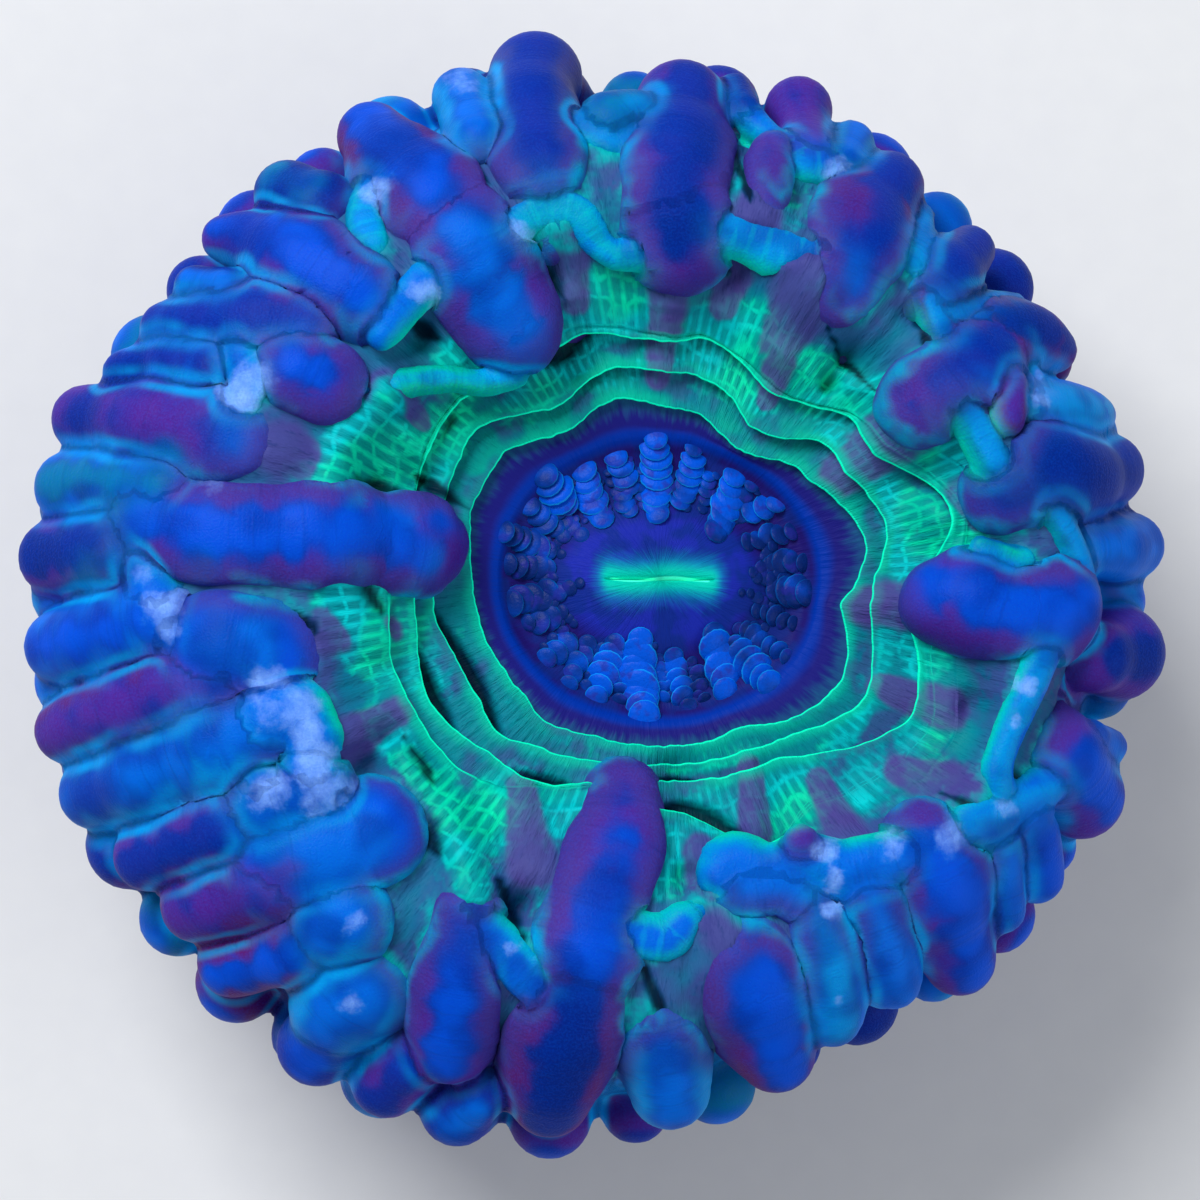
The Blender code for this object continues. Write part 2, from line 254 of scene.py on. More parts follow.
def blend(share, first, second):
    inputs = {0: share, 6: first, 7: second}
    return Wire(addNode(treeOf(*inputs.values()), "ShaderNodeMix", inputs, data_type="RGBA"), 2)


def grain(place, size, detail=2.0, rough=0.5):
    # noise over a place given in metres, with features of a size given in millimetres
    inputs = {"Vector": place, "Scale": 1.0 / (size * mm), "Detail": detail, "Roughness": rough}
    return Wire(addNode(place.tree, "ShaderNodeTexNoise", inputs), "Fac")


def readMask(tree, name, part="Fac"):
    return Wire(addNode(tree, "ShaderNodeAttribute", attribute_name=name), part)


def readMasks(tree, *names):
    return [readMask(tree, name) for name in names]


def firstPart(vector):
    return Wire(addNode(vector.tree, "ShaderNodeSeparateXYZ", {0: vector}))


def bodyPlace(tree):
    return Wire(addNode(tree, "ShaderNodeTexCoord"), "Object")


def pureBlue(tone):
    # fades weak red, so that blue and cyan stay clear and only the purples keep it
    parts = addNode(tone.tree, "ShaderNodeSeparateColor", {0: tone})
    red = Wire(parts, 0)
    whole = {0: red * spread(red, 0.004, 0.05, 0.12, 1.05), 1: Wire(parts, 1), 2: Wire(parts, 2)}
    return Wire(addNode(tone.tree, "ShaderNodeCombineColor", whole))


def newMaterial(name, rough, gloss, flesh=0.0):
    material = bpy.data.materials.new(name)
    material.use_nodes = True
    shader = material.node_tree.nodes["Principled BSDF"]
    looks = {
        "Roughness": rough, "Specular IOR Level": gloss, "Subsurface Weight": flesh,
        "Subsurface Radius": (0.3, 0.5, 1.0), "Subsurface Scale": 0.8 * mm,
    }
    for label, value in looks.items():
        feed(shader.inputs[label], value)
    return material, material.node_tree, shader


def dressShader(shader, tone, relief, depth, glow=None, strength=0.0):
    # colour, fine relief of a depth in millimetres, and the faint glow of the tissue
    bump = addNode(shader.id_data, "ShaderNodeBump", {"Distance": depth * mm, "Height": relief})
    feed(shader.inputs["Base Color"], tone)
    feed(shader.inputs["Normal"], Wire(bump))
    if glow:
        feed(shader.inputs["Emission Color"], glow)
        feed(shader.inputs["Emission Strength"], strength)


def newTree(name, sizes):
    # a geometry tree with one named input for each size
    tree = bpy.data.node_groups.new(name, "GeometryNodeTree")
    face = tree.interface
    face.new_socket("Geometry", in_out="INPUT", socket_type="NodeSocketGeometry")
    sockets = {}
    for label, value in sizes.items():
        kind = "NodeSocketInt" if isinstance(value, int) else "NodeSocketFloat"
        sockets[label] = face.new_socket(label, in_out="INPUT", socket_type=kind)
        sockets[label].default_value = value
    sockets["Material"] = face.new_socket("Material", in_out="INPUT", socket_type="NodeSocketMaterial")
    face.new_socket("Geometry", in_out="OUTPUT", socket_type="NodeSocketGeometry")
    start = addNode(tree, "NodeGroupInput")
    return tree, sockets, start, {label: Wire(start, label) for label in sizes}


def readNamed(tree, name, kind="FLOAT"):
    inputs = {"Name": name}
    return Wire(addNode(tree, "GeometryNodeInputNamedAttribute", inputs, data_type=kind), "Attribute")


def endTree(tree, start, places):
    # copies at points, made real, with the material
    copies = addNode(tree, "GeometryNodeInstanceOnPoints", places)
    real = addNode(tree, "GeometryNodeRealizeInstances", {"Geometry": Wire(copies)})
    inputs = {"Geometry": Wire(real), "Material": Wire(start, "Material")}
    addNode(tree, "NodeGroupOutput", {"Geometry": Wire(addNode(tree, "GeometryNodeSetMaterial", inputs))})


def applyTree(target, treeMaker, sizes, material, name):
    # sets each input by its identifier, then turns the result into a plain mesh
    tree, sockets = treeMaker(sizes)
    live = target.modifiers.new(tree.name, "NODES")
    live.node_group = tree
    for label, value in {**sizes, "Material": material}.items():
        live[sockets[label].identifier] = value
    return bakeShape(target, name)


# camera, lights and floor

view = {
    "lens": 104.8,
    "distance": 250.7,
    "tilt": 6.6,               # degrees off straight down
    "target": (0.0, -0.7, 32.0),
}


def makeCamera():
    tilt = math.radians(view["tilt"])
    side = math.sin(tilt) * math.sqrt(0.5)
    back = Vector((-side, -side, math.cos(tilt)))
    across = Vector((0, 1, 0)).cross(back).normalized()
    data = bpy.data.cameras.new("camera")
    data.lens = view["lens"]
    data.clip_start = 0.01
    camera = linkObject("camera", data)
    place = (Vector(view["target"]) + back * view["distance"]) * mm
    turn = Matrix((across, back.cross(across), back)).transposed().to_4x4()
    camera.matrix_world = Matrix.Translation(place) @ turn
    bpy.context.scene.camera = camera


studio = {
    "key": ((-230, 260, 420), 2.8),      # place, power
    "fill": ((320, -180, 260), 0.5),
    "lampSize": 260,
    "sky": (0.9, 0.94, 1.0, 1.0),
    "skyStrength": 0.32,
    "floorHalf": 1500,
}


def makeLight(name):
    place, power = studio[name]
    data = bpy.data.lights.new(name, "AREA")
    data.size = studio["lampSize"] * mm
    data.energy = power
    lamp = linkObject(name, data)
    lamp.location = Vector(place) * mm
    lamp.rotation_euler = (-lamp.location).to_track_quat("-Z", "Y").to_euler()


def makeStudio():
    makeLight("key")
    makeLight("fill")
    world = bpy.data.worlds.new("studio")
    world.use_nodes = True
    sky = world.node_tree.nodes["Background"]
    sky.inputs["Color"].default_value = studio["sky"]
    sky.inputs["Strength"].default_value = studio["skyStrength"]
    bpy.context.scene.world = world
    bpy.context.scene.view_settings.view_transform = "Standard"

    half = studio["floorHalf"] * mm
    corners = [(-half, -half, 0), (half, -half, 0), (half, half, 0), (-half, half, 0)]
    floor = plainObject("floor", corners, [(0, 1, 2, 3)])
    material, tree, shader = newMaterial("palePaper", 0.9, 0.1)
    tooth = grain(bodyPlace(tree), 3.0)
    feed(shader.inputs["Base Color"], blend(tooth, (0.74, 0.75, 0.77), (0.78, 0.79, 0.80)))
    floor.data.materials.append(material)


makeCamera()
makeStudio()
print("camera, lights and floor ready")


# swollen lobes, as chains of swellings that share one skin
lobes = {
    "crestDistance": 26.0,
    "crestLift": 0.08,
    "innerFall": 0.030,
    "outerFall": 0.055,
    "plumper": 0.14,
    "spacing": 0.6,
    "swell": 0.32,
    "swellSize": 0.28,
    "bulgeLength": 6.5,
    "bulgeDepth": 0.09,
    "fillet": 0.4,
    "skirt": 3.4,
    "frillSkirt": 1.6,
    "grid": 0.40,
    "thinning": 0.52,
    "tintRounds": 12,
    # flank tint, crest tint, then swellings from the outer end: place on the ground plan, girth
    # and, where a lobe melts into the slope, how far its top sits below the crest line
    "north": [
        ("heather", "violet", (-4.5, 38, 3.3), (-5, 34, 2.9), (-4.7, 29.8, 2.6, 0.4), (-4, 26.5, 2, 1.6),
         (-3.6, 25, 1.6, 2.7)),
        ("plum", "violet", (6, 35.5, 3.4), (5, 30, 3.4), (4.5, 27.5, 2.8)),
        ("plum", "navy", (5, 26, 3.2), (5.2, 24.8, 3.1)),
        ("plum", "plum", (15, 36, 2.5), (15, 31.5, 1.8, 0.6)),
        ("plum", "plum", (12.2, 31.6, 1, 0.5), (11.6, 29, 1.1, 0.8), (11.3, 26.2, 1, 1.4)),
        ("teal", "azure", (18.5, 33, 1.8), (17.5, 31, 1.6)),
        ("maroon", "violet", (21, 29.6, 2.6), (18.8, 26.9, 3.3), (17.4, 23.8, 3.2, 0.1),
         (16.6, 21.8, 3.2, 0.5)),
        ("teal", "teal", (0.5, 33.5, 1.8), (2.5, 34.5, 1.4)),
        ("cyan", "azure", (-10, 36, 2.3), (-9, 32, 1.6)),
        ("navy", "navy", (10, 37, 1.4), (10.5, 35, 1.2)),
    ],
    "east": [
        ("heather", "violet", (27, 25, 1.9), (24.9, 22.9, 2.4, 0.2), (23.6, 20.8, 1.8, 1)),
        ("maroon", "navy", (33.5, 18, 1.8), (31, 18.5, 2.7), (28, 18.5, 2.3, 0.6), (26, 18, 1.8, 1.6)),
        ("plum", "violet", (27.4, 16.6, 2.3, 0.3), (25.6, 15.5, 3, 0.3), (24, 14.3, 2.8, 0.8),
         (22.6, 13.2, 2.3, 1.8)),
        ("azure", "cyan", (37, 13.5, 1.6), (34.5, 13, 2.7), (31, 13.4, 2, 0.8), (28.6, 13.6, 1.6, 2)),
        ("violet", "navy", (38, 9.5, 2.9), (35, 8.5, 3.3), (31.4, 8.2, 3.2, 0.2), (28.8, 7, 2.5, 1.4)),
        ("azure", "azure", (40, 4, 2.5), (37.4, 3.4, 2.4, 0.4), (34.4, 3, 1.8, 1.6)),
        ("plum", "royal", (32.6, -1.2, 2.9), (30.8, -1.8, 3.3), (28.3, -1.8, 2.5, 0.3), (26, -1, 2.8, 0.2),
         (24.4, -0.9, 2.5, 0.8)),
        ("plum", "navy", (38.5, -4, 3.5), (36, -4.5, 3)),
        ("azure", "azure", (37.5, -11, 1.5), (35.5, -10.5, 1.5)),
        ("plum", "royal", (35.5, -14.5, 3.2), (33.2, -11.8, 3)),
    ],
    "south": [
        ("azure", "royal", (31.8, -20.4, 2.2), (31.2, -17.8, 2.1), (30.4, -16.4, 1.8, 0.4)),
        ("azure", "azure", (28.9, -22.8, 1.7), (28.6, -20.2, 1.6, 0.4), (28.2, -18.2, 1.4, 1)),
        ("plum", "royal", (26, -26.4, 2.5), (25, -24, 3.1), (23.7, -21, 3.4), (22.7, -18.4, 2.9, 0.3)),
        ("azure", "azure", (20.6, -27.8, 1.9), (19.6, -25.4, 1.9, 0.2), (18.6, -22.4, 1.7, 0.8),
         (18, -20.6, 1.6, 1.4)),
        ("azure", "cyan", (16.3, -30.4, 2), (15.8, -27.4, 2, 0.2), (15, -24.2, 1.7, 0.9),
         (14.6, -22, 1.5, 1.6)),
        ("maroon", "royal", (12.5, -33, 2.9), (11.5, -30.5, 3.4), (10.2, -27.2, 3.5, 0.3),
         (8.8, -23.8, 2.6, 1.8)),
        ("cyan", "azure", (5, -35.5, 2.9), (4.2, -32.4, 2.4, 0.8), (3.6, -29.4, 1.8, 2.2)),
        ("maroon", "navy", (-3.5, -36, 3.1), (-3.2, -33, 3.2), (-2.2, -28.8, 3.1)),
        ("plum", "royal", (-1.4, -25.6, 3.2), (-0.4, -21.6, 2.8, 0.3), (0.9, -18.4, 2.5, 0.8),
         (1.3, -16.4, 2.4, 1.1), (1.4, -14.9, 2.2, 1.5)),
        ("violet", "azure", (-10, -37, 2.6), (-8.5, -36, 1.9)),
        ("plum", "royal", (-10.8, -32.5, 2.5), (-10.5, -29.5, 2.6), (-10.1, -26, 2.3, 0.3),
         (-9.8, -23, 2, 0.9)),
        ("azure", "azure", (9.4, -21.4, 1.6, 0.8), (12, -20.8, 1.6, 0.9), (13.4, -21.8, 1.5, 1.2)),
    ],
    "west": [
        ("plum", "violet", (-15, -35, 2.7), (-13.5, -33.5, 2.6)),
        ("violet", "royal", (-20, -32.5, 3), (-19, -31, 2.6)),
        ("cyan", "azure", (-18.5, -29.5, 3.4), (-17, -28, 3.4)),
        ("maroon", "royal", (-26, -26.5, 2.7), (-23.5, -26.2, 2.5), (-21.2, -25.4, 2.1)),
        ("cyan", "azure", (-18.8, -23.7, 2.5), (-18, -23.2, 2.4)),
        ("maroon", "plum", (-28.5, -22.5, 2.7), (-25.5, -21.5, 2.8), (-23, -20.5, 2.3)),
        ("royal", "azure", (-22, -19, 3.2), (-19, -18.5, 3.6), (-16.4, -17.6, 3.2, 0.4)),
        ("plum", "violet", (-32, -19, 2.5), (-29, -18, 2.3), (-26, -17, 2)),
        ("cyan", "azure", (-23.5, -15.5, 2.3), (-20, -14.5, 1.9)),
        ("cyan", "azure", (-36, -14.5, 2.7), (-31.5, -13, 3), (-27, -11.2, 3.1), (-23.6, -9.9, 2.8, 0.3)),
        ("maroon", "plum", (-38, -10, 2.5), (-34.5, -9, 2.8), (-30, -7.6, 2.8, 0.2),
         (-26.5, -6.8, 2.4, 0.6)),
        ("azure", "royal", (-38.5, -4, 2.7), (-35.5, -3.5, 2.9), (-31, -2.5, 2.2)),
        ("royal", "azure", (-26.4, -4.6, 3.4), (-24, -5, 3.5), (-23, -5.4, 2.8, 0.6)),
        ("plum", "navy", (-39, 2.5, 2.8), (-34, 2.5, 2.7)),
        ("plum", "royal", (-31.5, 4.5, 2.7), (-27.5, 3.3, 3), (-22, 3.2, 3.1), (-18.6, 3.4, 3, 0.1),
         (-16.9, 3.2, 2.3, 0.7), (-15.2, 3, 2.8, 0.6), (-13.2, 3, 2.8, 0.9), (-12.5, 3.2, 2.1, 1.4),
         (-11.9, 3.3, 1.8, 1.9)),
        ("azure", "teal", (-38, 7.5, 2.7), (-35, 7.5, 2.4), (-31, 6.5, 1.8)),
        ("plum", "plum", (-37, 12.5, 2.6), (-32, 11.5, 3.2), (-28.5, 10.7, 3.1), (-25.6, 9.8, 2.6, 0.9),
         (-23.6, 9, 2, 2.2)),
        ("azure", "violet", (-34, 15.5, 1.7), (-31, 16, 1.8), (-28, 15, 1.5)),
        ("plum", "violet", (-31, 18.5, 2), (-27.5, 18.4, 2.3), (-24.2, 18.4, 2.2, 0.2),
         (-21.4, 18, 2, 0.6)),
        ("plum", "royal", (-21.6, 14.8, 2.4), (-19.9, 14, 2.4, 0.3)),
        ("navy", "azure", (-29, 21.5, 1.6), (-26.5, 21, 1.4)),
        ("plum", "royal", (-27, 25.2, 1.7), (-24.6, 24.8, 2.3), (-21.6, 23, 2.6), (-18.8, 21.2, 2.6, 0.2),
         (-17, 20, 2.2, 0.8)),
        ("navy", "teal", (-22.5, 28.5, 2.5), (-20.5, 27.5, 2.5)),
        ("maroon", "royal", (-16.5, 33, 2.7), (-14.5, 30, 3.2), (-12.2, 27, 3.4)),
        ("plum", "azure", (-10, 24.2, 3.3), (-8.8, 21.9, 3.6), (-7.5, 19.9, 3.3), (-6.4, 18.3, 2.6, 0.3)),
    ],
    # thin ridges and webs between the lobes; the number is how far their tops sit below the crest line
    "frills": [
        ("cyan", "aqua", 1.2, (-7.3, 24.7, 1), (-5.4, 25.9, 1.1), (-3.5, 26.5, 1.1), (-2, 26.2, 1),
         (-1.2, 25, 0.9), (-0.5, 23.9, 0.9), (0.8, 23.2, 1), (2.3, 23.4, 1), (3.8, 23.7, 0.9)),
        ("cyan", "cyan", 0.9, (7, 25.2, 1.2), (9.4, 24.6, 1.5), (12, 23.8, 1.6), (14.4, 23.4, 1.5),
         (16.6, 23.4, 1.4)),
        ("jade", "aqua", 1.9, (-18.6, 13.4, 0.5), (-16.2, 13.4, 0.8), (-13.6, 14.3, 0.9),
         (-10.9, 14.5, 0.95), (-8.4, 14.4, 0.95), (-6.2, 15, 0.9)),
        ("aqua", "cyan", 1.1, (-16.3, 27.8, 1.4), (-17, 25.8, 1.3), (-16.4, 23.8, 1)),
        ("azure", "azure", 0.9, (-15.8, 17.2, 0.9), (-14.8, 18.8, 1.3), (-13, 21, 1.2)),
        ("azure", "azure", 0.9, (-9.8, -22.8, 1.1), (-8.2, -24.6, 1.5), (-6.4, -26.4, 1.6),
         (-4.8, -28, 1.2)),
        ("aqua", "azure", 1.1, (-0.2, -23.4, 1), (2, -24.4, 1.4), (4.2, -24.8, 1.5), (5.2, -23.6, 1.2)),
        ("cyan", "azure", 1.8, (5.8, -23.4, 0.8), (6.6, -22.8, 0.9), (7.1, -23.2, 0.8)),
        ("azure", "cyan", 0.6, (30.9, -5, 1.2), (29.9, -7.6, 1.1), (28.5, -10.3, 1.1), (27.7, -12.7, 1.1),
         (27.9, -14, 1)),
        ("teal", "cyan", 1.2, (23.6, 27.4, 0.9), (22.8, 25.2, 1.1), (21.8, 23, 1)),
        ("azure", "cyan", 0.6, (25.6, -16.6, 1.3), (27.4, -16.2, 1.8), (29.2, -15.2, 1.5),
         (31.5, -14.2, 1.6)),
        ("teal", "cyan", 0.8, (32, 5.4, 0.9), (33.4, 3.4, 1.1), (34.6, 0.8, 1)),
        ("teal", "cyan", 1.2, (24.6, 13.4, 0.9), (25.8, 12, 1.1), (26.8, 10, 1.3), (27.4, 8.8, 1.1)),
        ("teal", "jade", 1.9, (26.5, 3, 0.7), (28, 2.4, 0.8), (29.8, 1.9, 0.7)),
        ("heather", "cyan", 1.1, (23, 20.2, 1), (23.8, 18, 0.9)),
        ("teal", "cyan", 1.2, (23.6, 19, 1), (25.6, 19.8, 1.1), (28, 20.8, 1), (30.5, 21.4, 0.9)),
        ("azure", "azure", 0.5, (8, -20.4, 1.5), (9.2, -19.6, 2.2), (11.6, -19.8, 1.6), (14, -19.2, 1.8),
         (16.6, -20, 1.9), (18.8, -19.4, 1.8), (20.8, -18.8, 1.4)),
        ("cyan", "lavender", 0.7, (31.2, 15.6, 0.6), (30.6, 13, 0.6)),
        ("maroon", "plum", 0.2, (29, 14.6, 1.2), (28.6, 12, 1.2)),
        ("plum", "plum", -0.7, (13.4, -18, 1.25), (13.5, -18, 1.25)),
        ("azure", "azure", -0.2, (-23.6, -9.6, 2.2), (-21.8, -9.2, 2.4), (-20.4, -10.8, 1.9)),
        ("azure", "azure", 0.1, (-20.6, -13, 1.7), (-19.8, -14.6, 1.9)),
        ("azure", "azure", 0.2, (-23.6, -14.4, 1.6), (-23.2, -15.8, 1.8)),
        ("azure", "azure", 0.2, (-32.6, 1.2, 1), (-31.6, -0.8, 1.7), (-30.8, -2.4, 1.7),
         (-30.4, -3.8, 1.1)),
        ("azure", "azure", 0.5, (-26, 16, 0.9), (-24.8, 14.2, 1.4), (-25.4, 12.6, 1.1)),
        ("cyan", "azure", 0.9, (11, 34, 1.1), (12.4, 32.6, 1), (14, 30.6, 1.1), (16, 30.4, 1.1),
         (18.6, 30, 1)),
        ("teal", "cyan", 1.2, (-1.4, 33, 1.2), (0.6, 31.4, 1.4), (2.4, 32.6, 1.3)),
    ],
    # rows of swellings down the outer wall: distance from the middle, height and girth
    "wallRow": [
        (38.2, 25.5, 3.1), (37.6, 21.5, 2.6), (36.6, 18, 3), (34.4, 14.6, 2.4), (31.6, 11.8, 2.4),
        (27.5, 8.8, 1.3),
    ],
    "wallRows": 38,
    "wallTints": [
        ("plum", "royal"), ("azure", "cyan"), ("violet", "navy"), ("maroon", "royal"), ("teal", "azure"),
        ("plum", "violet"),
    ],
    # bearing in degrees and how far the wall is drawn in there
    "wallInset": [
        (0, 0), (75, 0.2), (90, 1.6), (105, 0.2), (120, 1.7), (150, 1.7), (165, 0.5), (180, 0), (268, 0.2),
        (284, 1.5), (300, 3.3), (312, 1.2), (325, 0.2),
    ],
    "insetFrom": (22.0, 33.0),   # distance from the middle where that starts and where it is whole
    "smallRowGirth": 0.82,
    # the body without its lobes: distance and height, from the top outwards and down
    "core": [
        (0, 28), (4, 28), (8, 28.5), (11, 30), (13, 31.5), (15, 33), (17, 34), (19, 35), (21, 36),
        (23, 36.5), (25, 36.8), (27, 36.8), (29, 36.5), (31, 35.5), (33, 33.8), (35, 31.5), (36.5, 29),
        (37.5, 25), (36.8, 20), (34.5, 15), (31, 11), (27, 8), (25, 6.5), (0, 6.5),
    ],
    "coreAround": 120,
    # distance from the middle and how far the core stays below the terraces
    "coreCover": [(0, 2.8), (28, 2.8), (32, 1.6), (34, 1.0)],
    "coreUnderDisc": 27.4,
    # distance on the ground plan and how far the slope lies below the crest line
    "slopeDrop": [(17, 3.3), (21, 3.2), (24, 3.3), (28, 2.5), (31, 2.8), (35, 4.2)],
    "rimReach": 41.0,
}


def groundDistance(x, y):
    # distance from the mouth near it, and from the polyp's axis at the rim
    share = np.maximum(0.0, 1.0 - np.hypot(x, y) / lobes["rimReach"])
    return np.hypot(x - mouth[0] * share, y - mouth[1] * share)


def lobeTop(x, y):
    past = groundDistance(x, y) - lobes["crestDistance"]
    fall = np.where(past < 0, lobes["innerFall"], lobes["outerFall"])
    return crestHeight + lobes["crestLift"] - fall * past ** 2


def slopeTop(x, y):
    # the body between the lobes
    return lobeTop(x, y) - between(lobes["slopeDrop"], groundDistance(x, y))


def wallInset(bearing):
    # how far the outer wall is drawn in at a bearing
    return between(lobes["wallInset"], np.degrees(bearing) % 360, period=360)


def drawnIn(bearing, reach):
    # the same, easing off towards the middle
    return wallInset(bearing) * float(smoothStep(reach, *lobes["insetFrom"]))


def swelling(x, y, girth, sink):
    # a ball whose top lies the given depth below the crest line
    return x, y, float(lobeTop(x, y)) - sink - girth, girth


def plump(x, y, girth):
    # swellings away from the rim are a little fatter
    return girth * (1 + lobes["plumper"] * float(1 - smoothStep(np.hypot(x, y), 31, 37)))


def lobeChains():
    # every chain as (flank, crest, points with girth, kind)
    chains = []
    for side in ("north", "east", "south", "west"):
        for flank, crest, *balls in lobes[side]:
            path = [swelling(x, y, plump(x, y, girth), sum(sink)) for x, y, girth, *sink in balls]
            chains.append((flank, crest, path, "lobe"))
    for flank, crest, drop, *balls in lobes["frills"]:
        path = [swelling(x, y, girth, drop) for x, y, girth in balls]
        chains.append((flank, crest, path, "frill"))
    for row in range(lobes["wallRows"]):
        angle = math.tau * row / lobes["wallRows"]
        size = lobes["smallRowGirth"] if row % 2 else 1.0
        flank, crest = lobes["wallTints"][(row * 5 + row // 7) % len(lobes["wallTints"])]
        path = []
        for distance, height, girth in lobes["wallRow"]:
            reach = distance - wallInset(angle)
            path.append((reach * math.cos(angle), reach * math.sin(angle), height, girth * size))
        chains.append((flank, crest, path, "wall"))
    return chains


def segmentTable(chains):
    rows = []
    for number, (flank, crest, path, kind) in enumerate(chains):
        along = number * 37.0    # lengths start anew, so that no two chains share a pattern
        for first, second in zip(path, path[1:]):
            length = math.dist(first[:3], second[:3])
            rows.append((*first, *second, number, along, length))
            along += length
    return np.array(rows, dtype=np.float64)


def readSkin(points, chains):
    # for each point: nearest chain, how near the next one is, and where it lies on its chain
    table = segmentTable(chains)
    start, span = table[:, 0:3], table[:, 4:7] - table[:, 0:3]
    girth0, girth1 = table[:, 3], table[:, 7]
    owner, along, length = table[:, 8].astype(int), table[:, 9], table[:, 10]
    spanSquared = np.maximum((span ** 2).sum(1), 1e-9)
    firsts = np.searchsorted(owner, np.arange(len(chains)))
    out = {name: np.zeros(len(points)) for name in ("chain", "gap", "along", "offset", "crease")}
    out["side"] = np.zeros((len(points), 3))
    blockSize = 3000
    for begin in range(0, len(points), blockSize):
        where = slice(begin, begin + blockSize)
        block = points[where]
        apart = block[:, None, :] - start[None]
        share = np.clip((apart * span[None]).sum(2) / spanSquared, 0, 1)
        offset = apart - share[..., None] * span[None]
        girth = girth0 + (girth1 - girth0) * share
        distance = np.sqrt((offset ** 2).sum(2)) - girth
        perChain = np.minimum.reduceat(distance, firsts, axis=1)
        order = np.argpartition(perChain, 1, axis=1)[:, :2]
        pair = np.take_along_axis(perChain, order, axis=1)
        swap = pair[:, 0] > pair[:, 1]
        pair[swap] = pair[swap][:, ::-1]
        best = distance.argmin(1)
        rows = np.arange(len(block))
        near = offset[rows, best]
        out["chain"][where] = owner[best]
        out["gap"][where] = pair[:, 1] - pair[:, 0]
        out["offset"][where] = pair[:, 0]
        out["along"][where] = along[best] + share[rows, best] * length[best]
        out["side"][where] = near / np.maximum(girth[rows, best], 0.1)[:, None]
        # how sharply the two nearest chains face apart: 0 side by side, 1 and more across a crease
        second = np.where(swap, order[:, 0], order[:, 1])
        away = offset[rows, np.where(owner[None] == second[:, None], distance, 99.0).argmin(1)]
        both = np.linalg.norm(away, axis=1) * np.linalg.norm(near, axis=1)
        out["crease"][where] = 1 - (away * near).sum(1) / np.maximum(both, 1e-6)
    return out


# oral disc: the slit, its dome, the hollow round it and the violet band
disc = {
    "around": 540,
    # ellipse half-widths, height
    "rows": [
        (3.9, 0.03, 29.3), (3.95, 0.1, 29.9), (4.05, 0.28, 30.25), (4.4, 0.75, 30.35), (5.2, 1.8, 30.2),
        (6.2, 3.2, 29.9), (7.1, 4.6, 29.45), (7.9, 5.7, 28.95), (8.8, 6.8, 28.65), (9.9, 8.1, 28.6),
        (10.9, 9.3, 28.85), (11.5, 10, 29.35), (11.9, 10.5, 29.75), (12.4, 10.9, 29.9), (13, 11.4, 30),
        (13.8, 12, 30.15), (14.6, 12.8, 30.2), (15.8, 14.2, 30.2),
    ],
    "finer": 6,
}


def ellipseReach(bearing, halfX, halfY):
    return 1.0 / np.sqrt((np.cos(bearing) / halfX) ** 2 + (np.sin(bearing) / halfY) ** 2)


def discRows():
    # the listed rows, with finer rows eased in between
    listed = np.array(disc["rows"])
    steps = np.arange(len(listed))
    fine = np.linspace(0, len(listed) - 1, (len(listed) - 1) * disc["finer"] + 1)
    rows = np.stack([np.interp(fine, steps, column) for column in listed.T], axis=1)
    kernel = np.array([1, 2, 3, 2, 1]) / 9
    eased = rows.copy()
    for column in range(3):
        eased[2:-2, column] = np.convolve(rows[:, column], kernel, "valid")
    return eased


def discHeight(x, y):
    # height of the disc under a place measured from the mouth
    halfX, halfY, heights = np.array(disc["rows"]).T
    return float(np.interp(math.hypot(x, y), ellipseReach(math.atan2(y, x), halfX, halfY), heights))


